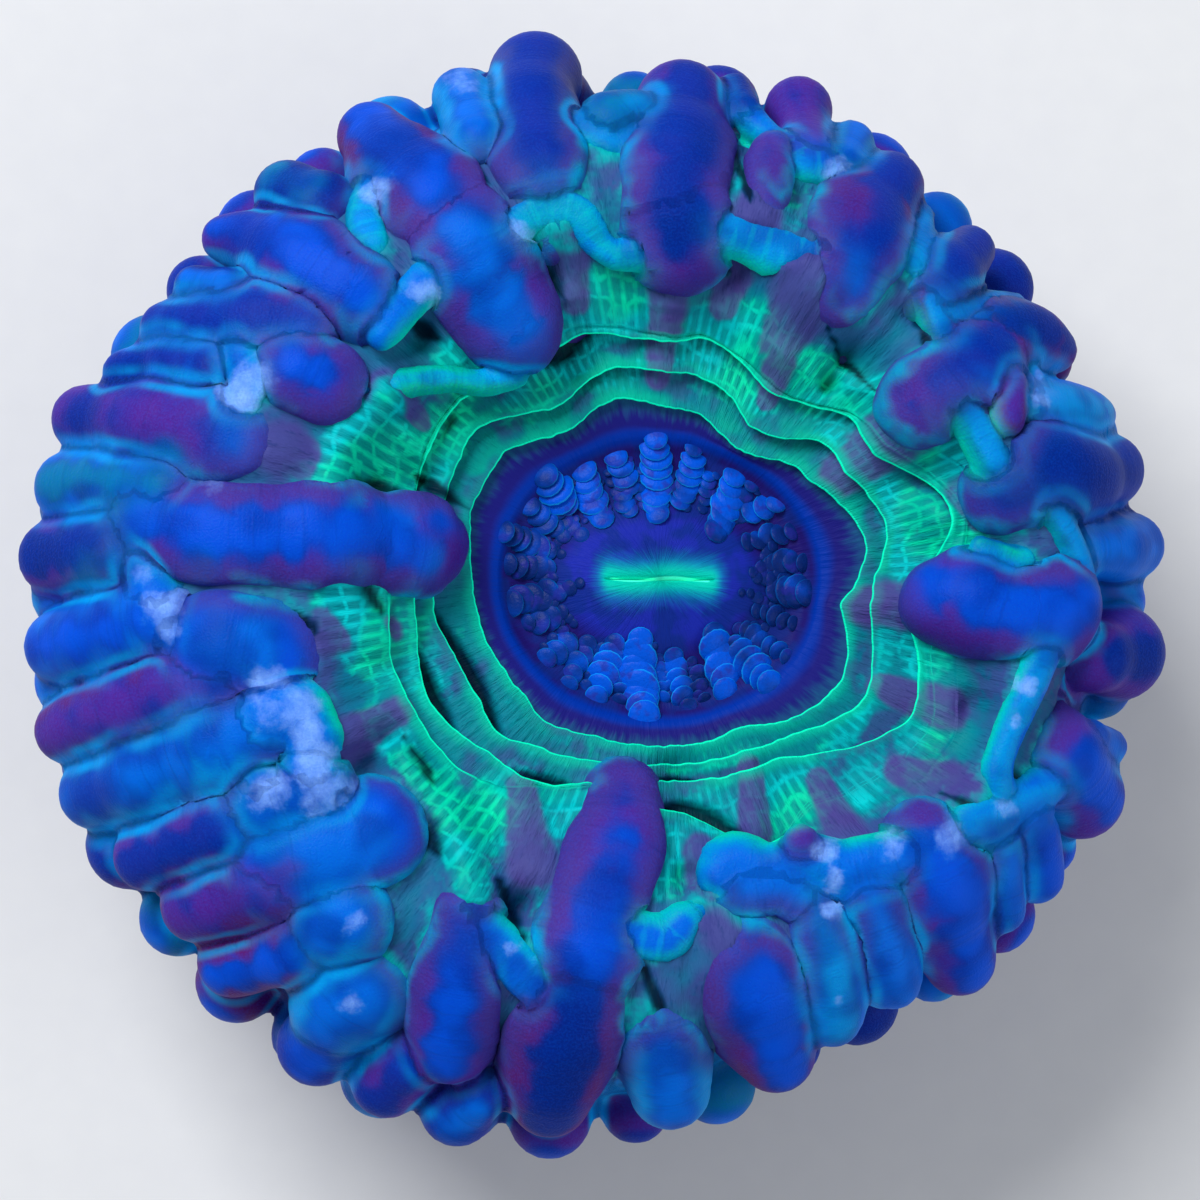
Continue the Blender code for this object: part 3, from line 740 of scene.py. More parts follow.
# terraces: stepped ledges round the disc, each with a thin overhanging lip
terrace = {
    "around": 900,
    "undercut": 0.75,
    "lipThickness": 0.34,
    "treadRows": 10,
    "slopeRows": 36,
    "slopeReach": 33.5,          # from the polyp's axis
    "skirt": 4.0,
    # each lip as bumps and dips: bearing in degrees from the mouth, distance
    "lips": [
        [(0, 14.3), (10, 15.3), (20, 14.4), (33, 13), (42, 12.6), (52, 11.2), (60, 10.9), (70, 11.6),
         (78, 12.3), (90, 12.4), (103, 13.4), (112, 13.1), (121, 12.4), (130, 13), (141, 14.5), (160, 14.5),
         (176, 13.7), (200, 13.3), (222, 13), (231, 13.4), (245, 12.4), (270, 12.1), (300, 12.1),
         (312, 13.8), (330, 15.1), (341, 14.3), (352, 12.9)],
        [(0, 15.2), (12, 16.8), (22, 16), (30, 15), (40, 15.3), (50, 13), (60, 12.4), (70, 14), (82, 14.9),
         (90, 14.7), (104, 15.6), (121, 14.2), (130, 15.1), (141, 17.1), (160, 16.6), (176, 16.2),
         (190, 16.7), (202, 15.8), (216, 15.9), (224, 16.5), (232, 15.3), (243, 14.6), (253, 13.9),
         (270, 13.4), (298, 13.8), (312, 14.9), (329, 17.2), (341, 16), (352, 15)],
        [(0, 18.3), (10, 21), (20, 20.2), (30, 16.9), (40, 17.7), (50, 16.1), (60, 15), (71, 16.4),
         (80, 17.4), (90, 16.5), (99, 17.3), (110, 18.4), (121, 17.4), (131, 18.2), (141, 19.3),
         (160, 18.8), (178, 17.7), (190, 18), (203, 18.8), (210, 19), (217, 18.6), (226, 17.8), (236, 17.6),
         (243, 17), (248, 16), (262, 14.6), (290, 15), (303, 15.2), (318, 18.3), (330, 20.4), (342, 19.2),
         (351, 17.2)],
        [(0, 21.7), (10, 23.4), (20, 22.3), (30, 19.4), (40, 19.5), (51, 17.4), (60, 17), (72, 18.2),
         (81, 19), (90, 18.4), (110, 20.5), (121, 19.7), (132, 20.7), (150, 21), (172, 19.4), (190, 19.9),
         (198, 20.6), (207, 20.2), (217, 20.4), (227, 20), (240, 18.9), (252, 17.2), (262, 16.2),
         (276, 17.2), (288, 20.3), (300, 20.5), (320, 22.7), (332, 23.2), (345, 20.8)],
    ],
    "lipHeights": [31.25, 32.5, 33.8, 35.0],
    "lipWave": 0.16,
    "lipRipple": 0.07,
    "lipSwing": 0.22,            # up and down
    "lipApart": 0.95,
    "lipBack": 0.28,             # from a lip's edge to the start of its ledge
    "lipFade": 0.22,             # how fast the lip's glow fades over its ledge
    "treadRise": 0.25,
    "treadSag": 0.18,
    "pleats": 140,
    # how far the outermost lip stands clear: bearing, share
    "outerLip": [
        (180, 0), (190, 1), (222, 1), (238, 0), (258, 0), (264, 1), (290, 1), (302, 0),
    ],
    # deep gaps under a lip, where the ledge dips and is painted dark as shade: ledge number, from and to
    # bearing, share of the ledge
    "overhangs": [
        (0, 184, 230, 0.7), (1, 192, 222, 0.62), (2, 199, 222, 0.3), (0, 228, 258, 0.25),
        (1, 228, 251, 0.6), (1, 259, 286, 0.7), (2, 262, 290, 0.7), (1, 104, 123, 0.6), (0, 132, 152, 0.25),
        (1, 26, 50, 0.3), (0, 36, 54, 0.3), (1, 312, 345, 0.22),
    ],
    # green patches with spokes: bearing, distance, half-width, half-length, strength
    "patches": [
        (150, 18.5, 3.4, 2.4, 1), (160, 22.5, 3, 1.4, 0.8), (104, 18.9, 4.2, 1.8, 1),
        (72, 18.4, 4.2, 2.2, 1), (50, 17.8, 3.2, 2.2, 1), (38, 19.6, 2.4, 2.6, 0.9), (24, 21.8, 3, 2, 0.9),
        (5, 21, 2.6, 1.6, 0.7), (-14, 19.6, 3, 1.9, 1), (-31, 21.6, 3, 2, 0.9), (-37, 23, 2.2, 1.6, 0.8),
        (-46, 20.6, 3, 2.6, 0.9), (-62, 18.4, 4.2, 2.8, 1), (-78, 17.4, 2.8, 2.4, 0.9),
        (-92, 20.2, 3, 3.4, 1), (-112, 18.6, 3, 2.8, 0.9), (-126, 21.5, 2.8, 5, 1),
        (-142, 18, 4.6, 2, 0.35), (-160, 18.8, 4.6, 2.4, 0.7), (178, 19.6, 3.4, 2.2, 0.8),
        (135, 20.6, 2.8, 2.2, 0.9), (98, 14.6, 6, 1.1, 0.9), (70, 14.6, 3.6, 1.3, 1),
        (128, 15.8, 3.4, 1.6, 0.9), (32, 15.6, 3.6, 1.6, 0.9), (215, 15, 8, 1.3, 0.75),
        (250, 13.8, 5.6, 1.1, 0.9), (290, 13.6, 6, 1, 1), (335, 16.6, 5, 1.2, 0.9), (8, 17.6, 4, 1.4, 0.9),
        (165, 15.8, 5, 1.2, 0.8), (-150, 23, 3.4, 1.6, 0.8), (-170, 23.4, 3, 1.6, 0.8),
        (-164, 21.6, 2.6, 1.6, 0.8), (-136, 22.2, 2.4, 2.2, 0.8), (116, 16.6, 3, 1, 0.9),
        (84, 16.4, 3.2, 0.9, 0.9), (-38, 17.2, 4, 1.2, 0.9), (-100, 15.8, 3.6, 1, 0.8),
        (162, 21.6, 4.4, 3.4, 0.6), (8, 20.7, 1.6, 2.6, 1), (15, 17.8, 3, 1.8, 1), (158, 24, 3, 2.6, 1),
        (166, 25.4, 1.2, 2.6, 1), (187, 22.8, 2.2, 2.8, 1), (197, 21.2, 2, 2.2, 0.9),
        (71, 27.5, 1.5, 3, 0.45), (80, 28, 0.8, 3.4, 0.5), (112, 23.6, 2.4, 2.6, 0.7),
        (88, 21.6, 2.4, 1.8, 0.7), (100, 21.4, 3, 1.6, 0.7), (60, 22.5, 2, 1.6, 0.6),
        (14, 25, 2.2, 1.4, 0.6), (95, 23, 2, 1.4, 0.6), (-70, 23, 2, 1.6, 0.6),
    ],
    "spokes": 150,
    # low dusky humps that run from the lobes over the ledges: from, to, width, height
    "humps": [
        (22.8, 12.8, 17.4, 8.4, 2.5, 1.9), (14.4, 21.2, 12.6, 17.6, 2.4, 2), (12.6, 16, 12, 13.8, 1.2, 0.7),
        (4.6, 20.6, 4.2, 15.6, 1.4, 1), (-15.4, 13.4, -13.2, 11.6, 1.5, 0.9), (22, -1, 17, -0.8, 1.7, 1),
        (26.4, -14.6, 21.2, -13, 1.8, 0.8), (10.8, -17.2, 10.6, -12.4, 1.2, 0.9),
        (-5.2, -19.6, -5.8, -14.2, 1.7, 1), (-18.6, -11.4, -14.4, -8.8, 1.6, 0.8),
        (-19.4, -3.4, -15.2, -3.2, 1.6, 0.7), (8.4, -24.4, 6.6, -18.6, 1.8, 1.1),
        (27.6, 6.6, 24, 5, 2.3, 1.7), (-2.9, 24.4, -2, 20.4, 1.6, 0.7), (10.6, 26.4, 8.6, 20.2, 1.7, 0.9),
        (24.6, -8.6, 20.4, -6.8, 1.5, 0.7), (17.4, -18, 15.4, -13.6, 1.4, 0.6),
        (-22.6, 9.2, -18.8, 7.4, 1.8, 0.8),
    ],
    # bright ridges drawn up between ledges and lobes: from, to, width, height
    "ridges": [
        (-15.4, 12.4, -18.4, 9.2, 1.5, 1.4), (-18.2, 9.4, -19.2, 7, 1.5, 1.1),
        (-18.8, 0.4, -16.2, -4.2, 1.4, 1.2), (-14.2, -11.9, -10.8, -15.8, 1.4, 1.5),
        (-10.8, -15.8, -9.4, -21.6, 1.7, 1.9), (23.6, 5.9, 26.2, 1.9, 1.3, 1.4),
        (-15.6, 11.6, -12.6, 9.4, 1, 0.8),
    ],
    # dark pockets in the slope: place, reach, depth
    "hollows": [
        (-3.9, 22.4, 1.4, 1.6), (9.4, 22.9, 1.8, 2), (-13.2, 17.8, 1.3, 1.8), (-1.6, 16.6, 1.5, 1.2),
        (17.4, 16.6, 0.8, 2.4), (16.3, 14.8, 0.7, 2.2), (-16.2, 7.2, 1.6, 2), (-13.5, 8, 1.2, 1.4),
        (5.6, -13.4, 1.8, 1.2), (-16.6, -12.8, 1.4, 2.2), (-15.2, -10.6, 1.1, 1.6), (28.2, 1.4, 1, 1.6),
        (6, -20.6, 1, 1.6), (22, 19.6, 1, 1.6), (-6.2, -22.8, 1.2, 2), (26.5, -8.5, 1.3, 1.4),
        (-17.8, 17.8, 1, 1.8),
    ],
    # gaps under overhanging tissue, painted dark as shade with no shape of their own: from, to, width
    "gapShadows": [
        (-13.4, 8.1, -9.4, 5.8, 0.5), (-11.4, 10.9, -10.3, 12.7, 0.4), (15.8, 18.2, 19.4, 14, 0.25),
        (-17.3, 0.4, -15.8, -1.8, 0.6), (-17.2, 7.3, -14.8, 6.6, 0.7), (-22, -2.2, -19.9, -4, 0.4),
        (-13.7, 18.6, -11.8, 17.4, 0.6), (-5, 23.8, -2.8, 20.4, 0.7), (-10.4, 30.2, -8.3, 28.3, 0.5),
        (9.3, 32.4, 10.1, 27.2, 0.3), (-7.5, -20.9, -5.9, -25, 0.6), (-13.7, -15.6, -11.8, -18.8, 0.9),
        (2.5, -26.8, 3.9, -30, 0.5), (34, -7.2, 36.4, -8.3, 0.5), (27, 3.4, 28.6, 2.1, 0.5),
        (23.7, -14.6, 26.2, -15.9, 0.4), (28.4, -12.8, 29.5, -14.1, 0.5), (31.2, -16.5, 32.8, -17.6, 0.4),
        (28.4, -18.7, 29.1, -19.7, 0.4), (6.6, 23.3, 8.9, 22.6, 0.5), (-14.2, -10.8, -12, -14, 0.3),
        (-19.4, -24.6, -17.2, -23, 0.3), (22, 19.8, 22.8, 17, 0.4),
    ],
}


def roundMouth(pairs, bearing, ease=2.2):
    # periodic reading of (bearing, value) pairs, eased over a few degrees
    degrees = np.degrees(bearing)
    plain = between(sorted((spot % 360, value) for spot, value in pairs), degrees, period=360)
    apart = (degrees + 180) % 360 - 180
    weight = np.exp(-0.5 * (apart / ease) ** 2)
    return np.real(np.fft.ifft(np.fft.fft(plain) * np.fft.fft(weight / weight.sum())))


def lipShapes(bearing):
    # reach and height of every lip round the mouth, wavy at two scales and never crowded
    reaches, heights = [], []
    for number, pairs in enumerate(terrace["lips"]):
        reach = roundMouth(pairs, bearing)
        wave = terrace["lipWave"] * roundNoise(bearing, 16, 1.6, number)
        reach += wave + terrace["lipRipple"] * roundNoise(bearing, 16, 0.55, number + 5)
        if reaches:
            reach = np.maximum(reach, reaches[-1] + terrace["lipApart"])
        reaches.append(reach)
        swing = terrace["lipSwing"] * roundNoise(bearing, 14, 5.0, number + 11)
        heights.append(terrace["lipHeights"][number] + swing)
    return reaches, heights


def overhangDepth(ledge, share, bearing):
    # how deep under the next lip a part of the ledge lies, 0 to 1; it dips the ledge there and paints shade
    # on it
    depth = bearing * 0
    for number, begin, finish, part in terrace["overhangs"]:
        if number == ledge:
            arc = np.clip((np.degrees(bearing) - begin) / (finish - begin), 0, 1)
            wide = part * np.sin(math.pi * arc) ** 0.6
            under = smoothStep(share, 1.0 - wide, 1.16 - wide) * smoothStep(wide, 0.02, 0.12)
            depth = np.maximum(depth, under)
    return depth


def shapeSlope(points):
    # raises humps and ridges and sinks hollows; returns where it is dusky and where ridges run
    dusky, ridged, raised = (np.zeros(len(points)) for count in range(3))
    for *line, width, height in terrace["humps"]:
        share, far = alongLine(points, *line)
        flare = 0.15 - 0.45 * share
        far = far / (width * (1 + flare))
        points[:, 2] += height * (1 - 0.5 * share) * np.exp(-(far ** 2))
        dusky = np.maximum(dusky, np.exp(-(far ** 3) * 0.8))
    for *line, width, height in terrace["ridges"]:
        far = alongLine(points, *line)[1] / width
        rise = np.maximum(0, height * np.exp(-(far ** 2)) - raised)
        raised += rise
        points[:, 2] += rise
        ridged = np.maximum(ridged, np.exp(-(far ** 4)))
    for x, y, reach, depth in terrace["hollows"]:
        points[:, 2] -= depth * np.exp(-((np.hypot(points[:, 0] - x, points[:, 1] - y) / reach) ** 2))
    return dusky * (1 - ridged), ridged


def gapShade(points):
    # how deep in one of the painted gap shadows each point lies, 0 to 1
    shade = np.zeros(len(points))
    warp = 0.35 * roughness(points, 1.4, 4.0)
    for *line, width in terrace["gapShadows"]:
        share, far = alongLine(points, *line)
        far = np.maximum(far + warp, 0)
        taper = width * (0.45 + 0.55 * np.sin(math.pi * np.clip(share, 0.02, 0.98)))
        shade = np.maximum(shade, np.exp(-((far / taper) ** 3)))
    return shade


def patchShare(bearing, reach, firstLedge):
    share = np.zeros(len(reach))
    for spot, distance, halfWide, halfLong, strength in terrace["patches"]:
        turn = (bearing - math.radians(spot) + math.pi) % math.tau - math.pi
        far = (turn * reach / halfWide) ** 2 + ((reach - distance) / halfLong) ** 2
        share = np.maximum(share, strength * np.exp(-far ** 1.5 * 0.8))
    # the first ledge stays plain, and the southern ladders are fainter
    share *= np.where(reach < firstLedge, 0.5, 1.0)
    return share * (1 - 0.25 * smoothStep(-np.sin(bearing), 0.1, 0.6))


def makeTerraces(chains):
    bearing = fullTurn(terrace["around"])
    flat = bearing * 0
    reaches, heights = lipShapes(bearing)
    undercut, thick, back = terrace["undercut"], terrace["lipThickness"], terrace["lipBack"]
    outerLip = roundMouth(terrace["outerLip"], bearing)
    pleat = 0.5 + 0.5 * np.sin(bearing * terrace["pleats"] + 3.0 * roundNoise(bearing, 15, 3.0, 3))
    rows, masks = [], {name: [] for name in ("lip", "lit", "dark", "run")}

    def addRow(reach, height, **shares):
        rows.append((reach, height))
        for name, parts in masks.items():
            parts.append(flat + shares.get(name, 0.0))

    def addSkinRow(reach, out, height, **shares):
        addRow(reach + out, height, lip=np.exp(-out / terrace["lipFade"]) * 0.3, run=out, **shares)

    # out past the lip, drop below its top, glow: under the lip, round its nose and back over it
    nose = [
        (undercut + 0.5, None, 0.0), (undercut, 0.9, 0.0), (undercut * 0.6, thick + 0.22, 0.1),
        (0.16, thick + 0.04, 0.5), (0.03, thick * 0.75, 0.8), (0.0, thick * 0.45, 1.0),
        (0.03, thick * 0.18, 1.0), (0.10, 0.03, 0.6), (0.22, 0.0, 0.1),
    ]
    below = flat + 30.0
    last = len(reaches) - 1
    for number, (reach, height) in enumerate(zip(reaches, heights)):
        strength = outerLip if number == last else flat + 1.0
        for step, (out, drop, mask) in enumerate(nose):
            z = below if drop is None else np.maximum(height - drop, below * 0.5 + (height - drop) * 0.5)
            # where a lip fades out, its nose opens into a plain ramp
            share = step / (len(nose) - 1)
            out = out * strength + (1.6 * share - 1.2) * (1 - strength)
            z = z * strength + (below + (height - below) * share) * (1 - strength)
            onTop = drop is not None and drop < 0.05
            addRow(reach + out, z, lip=mask * strength, lit=onTop * strength, run=out * onTop)
        if number == last:
            break
        end = reaches[number + 1] + undercut + 0.5
        if number == last - 1:
            end = reaches[-1] + (undercut + 0.5 + 1.4) * outerLip - 1.4
        for step in range(1, terrace["treadRows"] + 1):
            share = step / (terrace["treadRows"] + 1)
            out = back + (end - reach - back) * share
            rise = terrace["treadRise"] * share - terrace["treadSag"] * math.sin(math.pi * share)
            # under the next lip the ledge dips and is painted dark as shade
            dark = overhangDepth(number, share, bearing)
            ripple = 0.07 * pleat * math.sin(math.pi * min(1.0, share * 1.5))
            z = height + rise - 0.8 * dark + ripple
            addSkinRow(reach, out, z, lit=strength, dark=dark)
        below = height + terrace["treadRise"] * 0.97

    # the slope up to the lobes, with soft folds that run outwards
    toward = mouth[0] * np.cos(bearing) + mouth[1] * np.sin(bearing)
    outer = np.sqrt(toward ** 2 - mouth[0] ** 2 - mouth[1] ** 2 + terrace["slopeReach"] ** 2) - toward
    fold = roundNoise(bearing, 20, 2.6, 17)
    for step in range(1, terrace["slopeRows"] + 1):
        share = (step / terrace["slopeRows"]) ** 1.15
        out = back + (outer - reach - back) * share
        x, y = mouth[0] + (reach + out) * np.cos(bearing), mouth[1] + (reach + out) * np.sin(bearing)
        climb = smoothStep(out, 0.0, 5.0)
        soft = (0.34 * fold + 0.10 * pleat) * smoothStep(out, 0.2, 2.0)
        z = height + (slopeTop(x, y) - height) * climb + soft
        z += 0.30 * roughness(np.stack([x, y, z * 0], axis=1), 4.0, 6.0) * climb
        addSkinRow(reach, out, z, lit=strength)
    addRow(outer + 0.4, z - 1.5, run=out)

    piece = loftRound("terraces", rows, mouth)
    lip, lit, dark, run = (np.concatenate(parts) for parts in masks.values())
    points = meshPoints(piece.data)
    dusky, ridged = shapeSlope(points)
    # drawn up where it meets a lobe, and let down out of sight under one
    touch = readSkin(points, chains)["offset"]
    skirt = terrace["skirt"]
    lift = skirt / 4 * (1 - np.clip(touch, -skirt * 0.1, skirt) / skirt) ** 2
    points[:, 2] += lift * np.where(run > 0, 1.0, 0.6) - 2.5 * smoothStep(-touch, 0.2, 1.6)
    piece.data.vertices.foreach_set("co", points.ravel())

    allBearing = np.tile(bearing, len(rows))
    allReach = np.concatenate([reach for reach, height in rows])
    patch = patchShare(allBearing, allReach, np.tile(reaches[1], len(rows)) + 0.3)
    phase = 1.2 * np.tile(roundNoise(bearing, 10, 4.0, 8), len(rows))
    keepMasks(
        piece.data, lip=lip, lit=lit, run=run, touch=touch, dusky=dusky,
        patch=np.maximum(patch, 0.7 * ridged),
        # painted shade under the lips and in the gaps
        shade=np.maximum(dark, gapShade(points)),
        # where the ledges are painted lighter: the north side, which the lobes shade
        north=smoothStep(np.sin(allBearing), -0.6, 0.6),
        spoke=0.5 + 0.5 * np.sin(allBearing * terrace["spokes"] + phase),
        strand=circle(allBearing, 18 * mm, allReach * 0.16 * mm),
    )
    return piece


def treadMaterial():
    material, tree, shader = newMaterial("ledgeTissue", 0.5, 0.05)
    place = bodyPlace(tree)
    strand = readMask(tree, "strand", "Vector")
    lip, patch, spoke, run = readMasks(tree, "lip", "patch", "spoke", "run")
    touch, shade, dusky, north = readMasks(tree, "touch", "shade", "dusky", "north")
    fine = grain(strand, 0.16, 2.0, 0.6)
    broad = grain(place, 4.5)
    region = grain(place, 7.0, 1.0)
    mottle = grain(place, 1.1, 2.0)
    offMottle = mottle - 0.5
    base = blend(spread(broad, 0.40, 0.58), paint(54, 78, 138), paint(34, 112, 148))
    base = blend(spread(mottle, 0.48, 0.7, 0.0, 0.6), base, paint(14, 116, 150))
    haze = spread(run, 0.1, 3.6, 0.8, 0.12) * spread(broad, 0.40, 0.54, 0.25, 1.0)
    # painted light: the north ledges, which the lobes shade, get more of the bright green haze
    haze = haze * spread(north, 0.0, 1.0, 0.7, 1.4)
    base = blend(haze, base, paint(4, 156, 144))
    # patches: cells outlined by bright spokes and cross lines, ragged by noise
    hump = spread(dusky + offMottle * 0.5, 0.25, 0.75)
    base = blend(hump * 0.8, base, paint(76, 56, 140))
    ragged = spread(patch + offMottle * 0.6, 0.25, 0.7)
    ragged = ragged * (1.0 - hump * 0.85)
    offBroad = grain(place, 2.2, 0.5) - 0.5
    wave = maths("SINE", run * 4.2 + offBroad * 9.0)
    wave = wave + offMottle * 0.5
    uneven = spoke + offMottle * 0.45
    bars = spread(uneven, 0.35, 1.0, 0.0, 0.8)
    cells = maths("MAXIMUM", spread(wave, 0.4, 1.1, 0.0, 0.85), bars)
    inside = blend(spread(region, 0.42, 0.58), paint(0, 158, 164), paint(0, 170, 148))
    base = blend(ragged * 0.8, base, inside)
    lit = ragged * (cells * spread(broad, 0.38, 0.6, 0.55, 0.95))
    base = blend(lit, base, blend(spread(region, 0.42, 0.58), paint(8, 200, 205), paint(16, 225, 170)))
    # dusky purple against the lobes, with cyan here and there
    base = blend(spread(touch, 0.3, 2.4, 0.6, 0.0) * (1.0 - ragged), base, paint(58, 74, 144))
    nearLobe = touch + offMottle * 2.4
    contact = spread(nearLobe, -0.6, 1.1, 0.85, 0.0) * spread(region, 0.45, 0.57)
    base = blend(contact, base, paint(4, 175, 175))
    base = blend(spread(fine, 0.56, 0.74, 0.0, 0.3), base, paint(14, 30, 90))
    nearLip = spread(run, 0.05, 1.1, 0.75, 0.0) * (spread(broad, 0.4, 0.6, 0.3, 1.0) * readMask(tree, "lit"))
    base = blend(nearLip, base, paint(8, 196, 160))
    edge = lip + (broad - 0.5) * 0.5
    edge = spread(edge, 0.35, 0.85)
    base = blend(edge, base, paint(24, 232, 180))
    # painted shadow: the gaps and the ledges under the lips are darkened to near black
    base = pureBlue(blend(shade * 0.92, base, paint(2, 18, 36)))
    shining = maths("ADD", maths("MAXIMUM", lit, contact) * 0.35, edge * 0.8, True)
    shining = shining * (1.0 - shade)
    glow = blend(shining, (0, 0, 0), base)
    dressShader(shader, base, fine, 0.12, glow, 0.4)
    return material


allChains = lobeChains()
upperChains = [chain for chain in allChains if chain[3] != "wall"]
terraces = makeTerraces(upperChains)
terraceTree = BVHTree.FromObject(terraces, bpy.context.evaluated_depsgraph_get())
finishPiece(terraces, treadMaterial())


# the disc itself, its outer part hidden under the first lip
def makeDisc():
    bearing = fullTurn(disc["around"])
    outer = lipShapes(bearing)[0][0] + terrace["undercut"] + 0.2
    lastX, lastY, lastHeight = disc["rows"][-1]
    rows, girdle = [], []
    for halfX, halfY, height in discRows():
        reach = ellipseReach(bearing, halfX, halfY)
        # the outer rows bend towards the first lip
        pull = float(smoothStep(halfX, 10.5, lastX))
        reach = reach * (1 + (outer / ellipseReach(bearing, lastX, lastY) - 1) * pull)
        z = height + 0 * bearing
        if 4.3 < halfX < 13:
            z = z + 0.05 * roundNoise(bearing, reach, 0.9, 2) * smoothStep(reach, 5.5, 8)
        rows.append((reach, z))
        girdle.append(halfX + 0 * bearing)
    piece = loftRound("oral_disc", rows, mouth, closeInside=True)
    x, y = (meshPoints(piece.data) - (*mouth, 0))[:, :2].T
    bend = 0.12 * np.sin(x * 1.1 + 0.6)
    allReach = np.concatenate([reach for reach, height in rows])
    keepMasks(
        piece.data, girdle=np.concatenate(girdle),
        strand=circle(np.tile(bearing, len(rows)), 12 * mm, allReach * 0.14 * mm),
        slitGap=np.hypot(np.maximum(np.abs(x) - 3.6, 0) * 1.4, (y - bend) * 0.95),
    )
    return piece


def discMaterial():
    material, tree, shader = newMaterial("discTissue", 0.5, 0.05)
    place = bodyPlace(tree)
    girdle, slitGap = readMasks(tree, "girdle", "slitGap")
    strand = readMask(tree, "strand", "Vector")
    fine = grain(strand, 0.35, 3.0, 0.6)
    cloud = grain(place, 2.0)
    violet, ring, basin = paint(26, 40, 158), paint(0, 46, 152), paint(28, 20, 100)
    tone = blend(spread(girdle, 6.6, 8.2), violet, basin)
    tone = blend(spread(cloud, 0.42, 0.6, 0.0, 0.7), tone, paint(8, 40, 120))
    tone = blend(spread(girdle, 11.2, 11.9), tone, ring)
    tone = blend(spread(girdle, 12.2, 13.2), tone, paint(26, 26, 114))
    fringe = girdle + (fine - 0.5) * 2.6
    tone = blend(spread(fringe, 13.6, 15.4, 0.0, 0.75), tone, paint(30, 100, 140))
    # green halo with feathered edges about the slit
    feather = slitGap + (fine - 0.5) * 1.6
    halo = spread(feather, 0.3, 2.4, 1.0, 0.0)
    tone = blend(halo, tone, blend(spread(slitGap, 0.3, 1.6), paint(0, 180, 160), paint(0, 120, 170)))
    line = spread(slitGap, 0.05, 0.13, 1.0, 0.0)
    tone = blend(line, tone, paint(70, 250, 215))
    shining = maths("MAXIMUM", halo * 0.8, 0.25)
    glow = blend(shining, (0, 0, 0), tone)
    dressShader(shader, tone, fine, 0.12, glow, 0.45)
    return material


finishPiece(makeDisc(), discMaterial())


# papillae: rows of overlapping round folds in the hollow
papillae = {
    "spacing": 0.74,
    "flatness": 0.30,
    "segments": 14,
    "rings": 8,
    "fillers": 40,
    "steps": 8,
    # bearing and distance at the outer end, then at the inner end, girth
    "rows": [
        (91, 10.2, 91, 4.9, 1), (109, 9.6, 108, 7.2, 0.85), (74, 9.8, 72, 6, 0.85), (124, 9.6, 133, 6.2, 1),
        (54, 9.4, 40, 5.4, 1.05), (138, 11.2, 140, 8.6, 1.1), (150, 10.9, 155, 7.6, 0.8),
        (111, 7.6, 114, 5.6, 0.75), (34, 10.2, 38, 7.6, 0.8), (20, 10.4, 24, 7.2, 0.75),
        (8, 10.6, 9, 8.6, 0.8), (-5, 11, -4, 8.8, 1.15), (-31, 10.6, -28, 7.4, 0.75),
        (-43, 11, -40, 7.4, 1.05), (-58, 9.4, -46, 5.6, 1.15), (-78, 9.4, -79, 5.8, 0.8),
        (-97, 9.8, -107, 4.6, 1.2), (-118, 9.6, -124, 5.8, 0.95), (-131, 10, -137, 7, 0.75),
        (-145, 9.9, -146, 7.6, 0.85), (-160, 10.2, -162, 7.4, 0.8), (-172, 10.9, -172, 8.2, 1),
        (174, 11.2, 174, 8.2, 0.9), (163, 11.8, 166, 8.4, 0.95), (82, 8.8, 83, 6.6, 0.55),
        (100, 8.8, 100, 6.4, 0.55), (64, 9.6, 57, 7, 0.55), (-88, 9.6, -90, 6.4, 0.55),
        (-68, 10.2, -66, 7.2, 0.55), (-108, 10.2, -114, 7.4, 0.55), (0, 9, 2, 7.2, 0.6),
        (-18, 10.4, -16, 7.8, 0.65), (45, 9.9, 44, 7.6, 0.6), (146, 9, 150, 6.6, 0.6),
    ],
}


def foldRows():
    # a loose polyline along each row, with the girth and lean of its folds
    paths, girths, leans, glows = [], [], [], []
    chance = np.random.default_rng(12)
    rows = list(papillae["rows"])
    for number in range(papillae["fillers"]):
        bearing = 360 * (number + chance.uniform(0.1, 0.9)) / papillae["fillers"]
        start = chance.uniform(8.8, 10.6)
        turned, end = bearing + chance.uniform(-8, 8), start - chance.uniform(1.4, 3.4)
        rows.append((bearing, start, turned, end, chance.uniform(0.36, 0.55)))
    for outerBearing, outerReach, innerBearing, innerReach, girth in rows:
        # the hollow is oval: pull the small rows in where it is narrow
        narrow = math.radians(0.5 * (outerBearing + innerBearing))
        squeeze = float(ellipseReach(narrow, 1.0, 0.88)) if girth < 0.56 else 1.0
        outerReach, innerReach = outerReach * squeeze, innerReach * squeeze
        path = []
        for step in range(papillae["steps"] + 1):
            share = step / papillae["steps"]
            bearing = math.radians(outerBearing + (innerBearing - outerBearing) * share)
            reach = outerReach + (innerReach - outerReach) * share
            x = reach * math.cos(bearing) + chance.normal(0, 0.10)
            y = reach * math.sin(bearing) + chance.normal(0, 0.10)
            path.append((mouth[0] + x, mouth[1] + y, discHeight(x, y) + girth * 0.16))
            belly = 0.66 + 0.44 * math.sin(math.pi * (0.12 + 0.8 * share)) ** 0.8
            girths.append(girth * chance.uniform(0.95, 1.25) * belly)
            glows.append(0.3 + 0.7 * abs(math.sin(bearing)))
            tip = chance.normal(0, 0.12, 2)
            leans.append((math.cos(bearing) * 0.42 + tip[0], math.sin(bearing) * 0.42 + tip[1], 0.9))
        paths.append(path)
    return pathsObject("foldRows", paths, girth=girths, glow=glows, lean=leans)


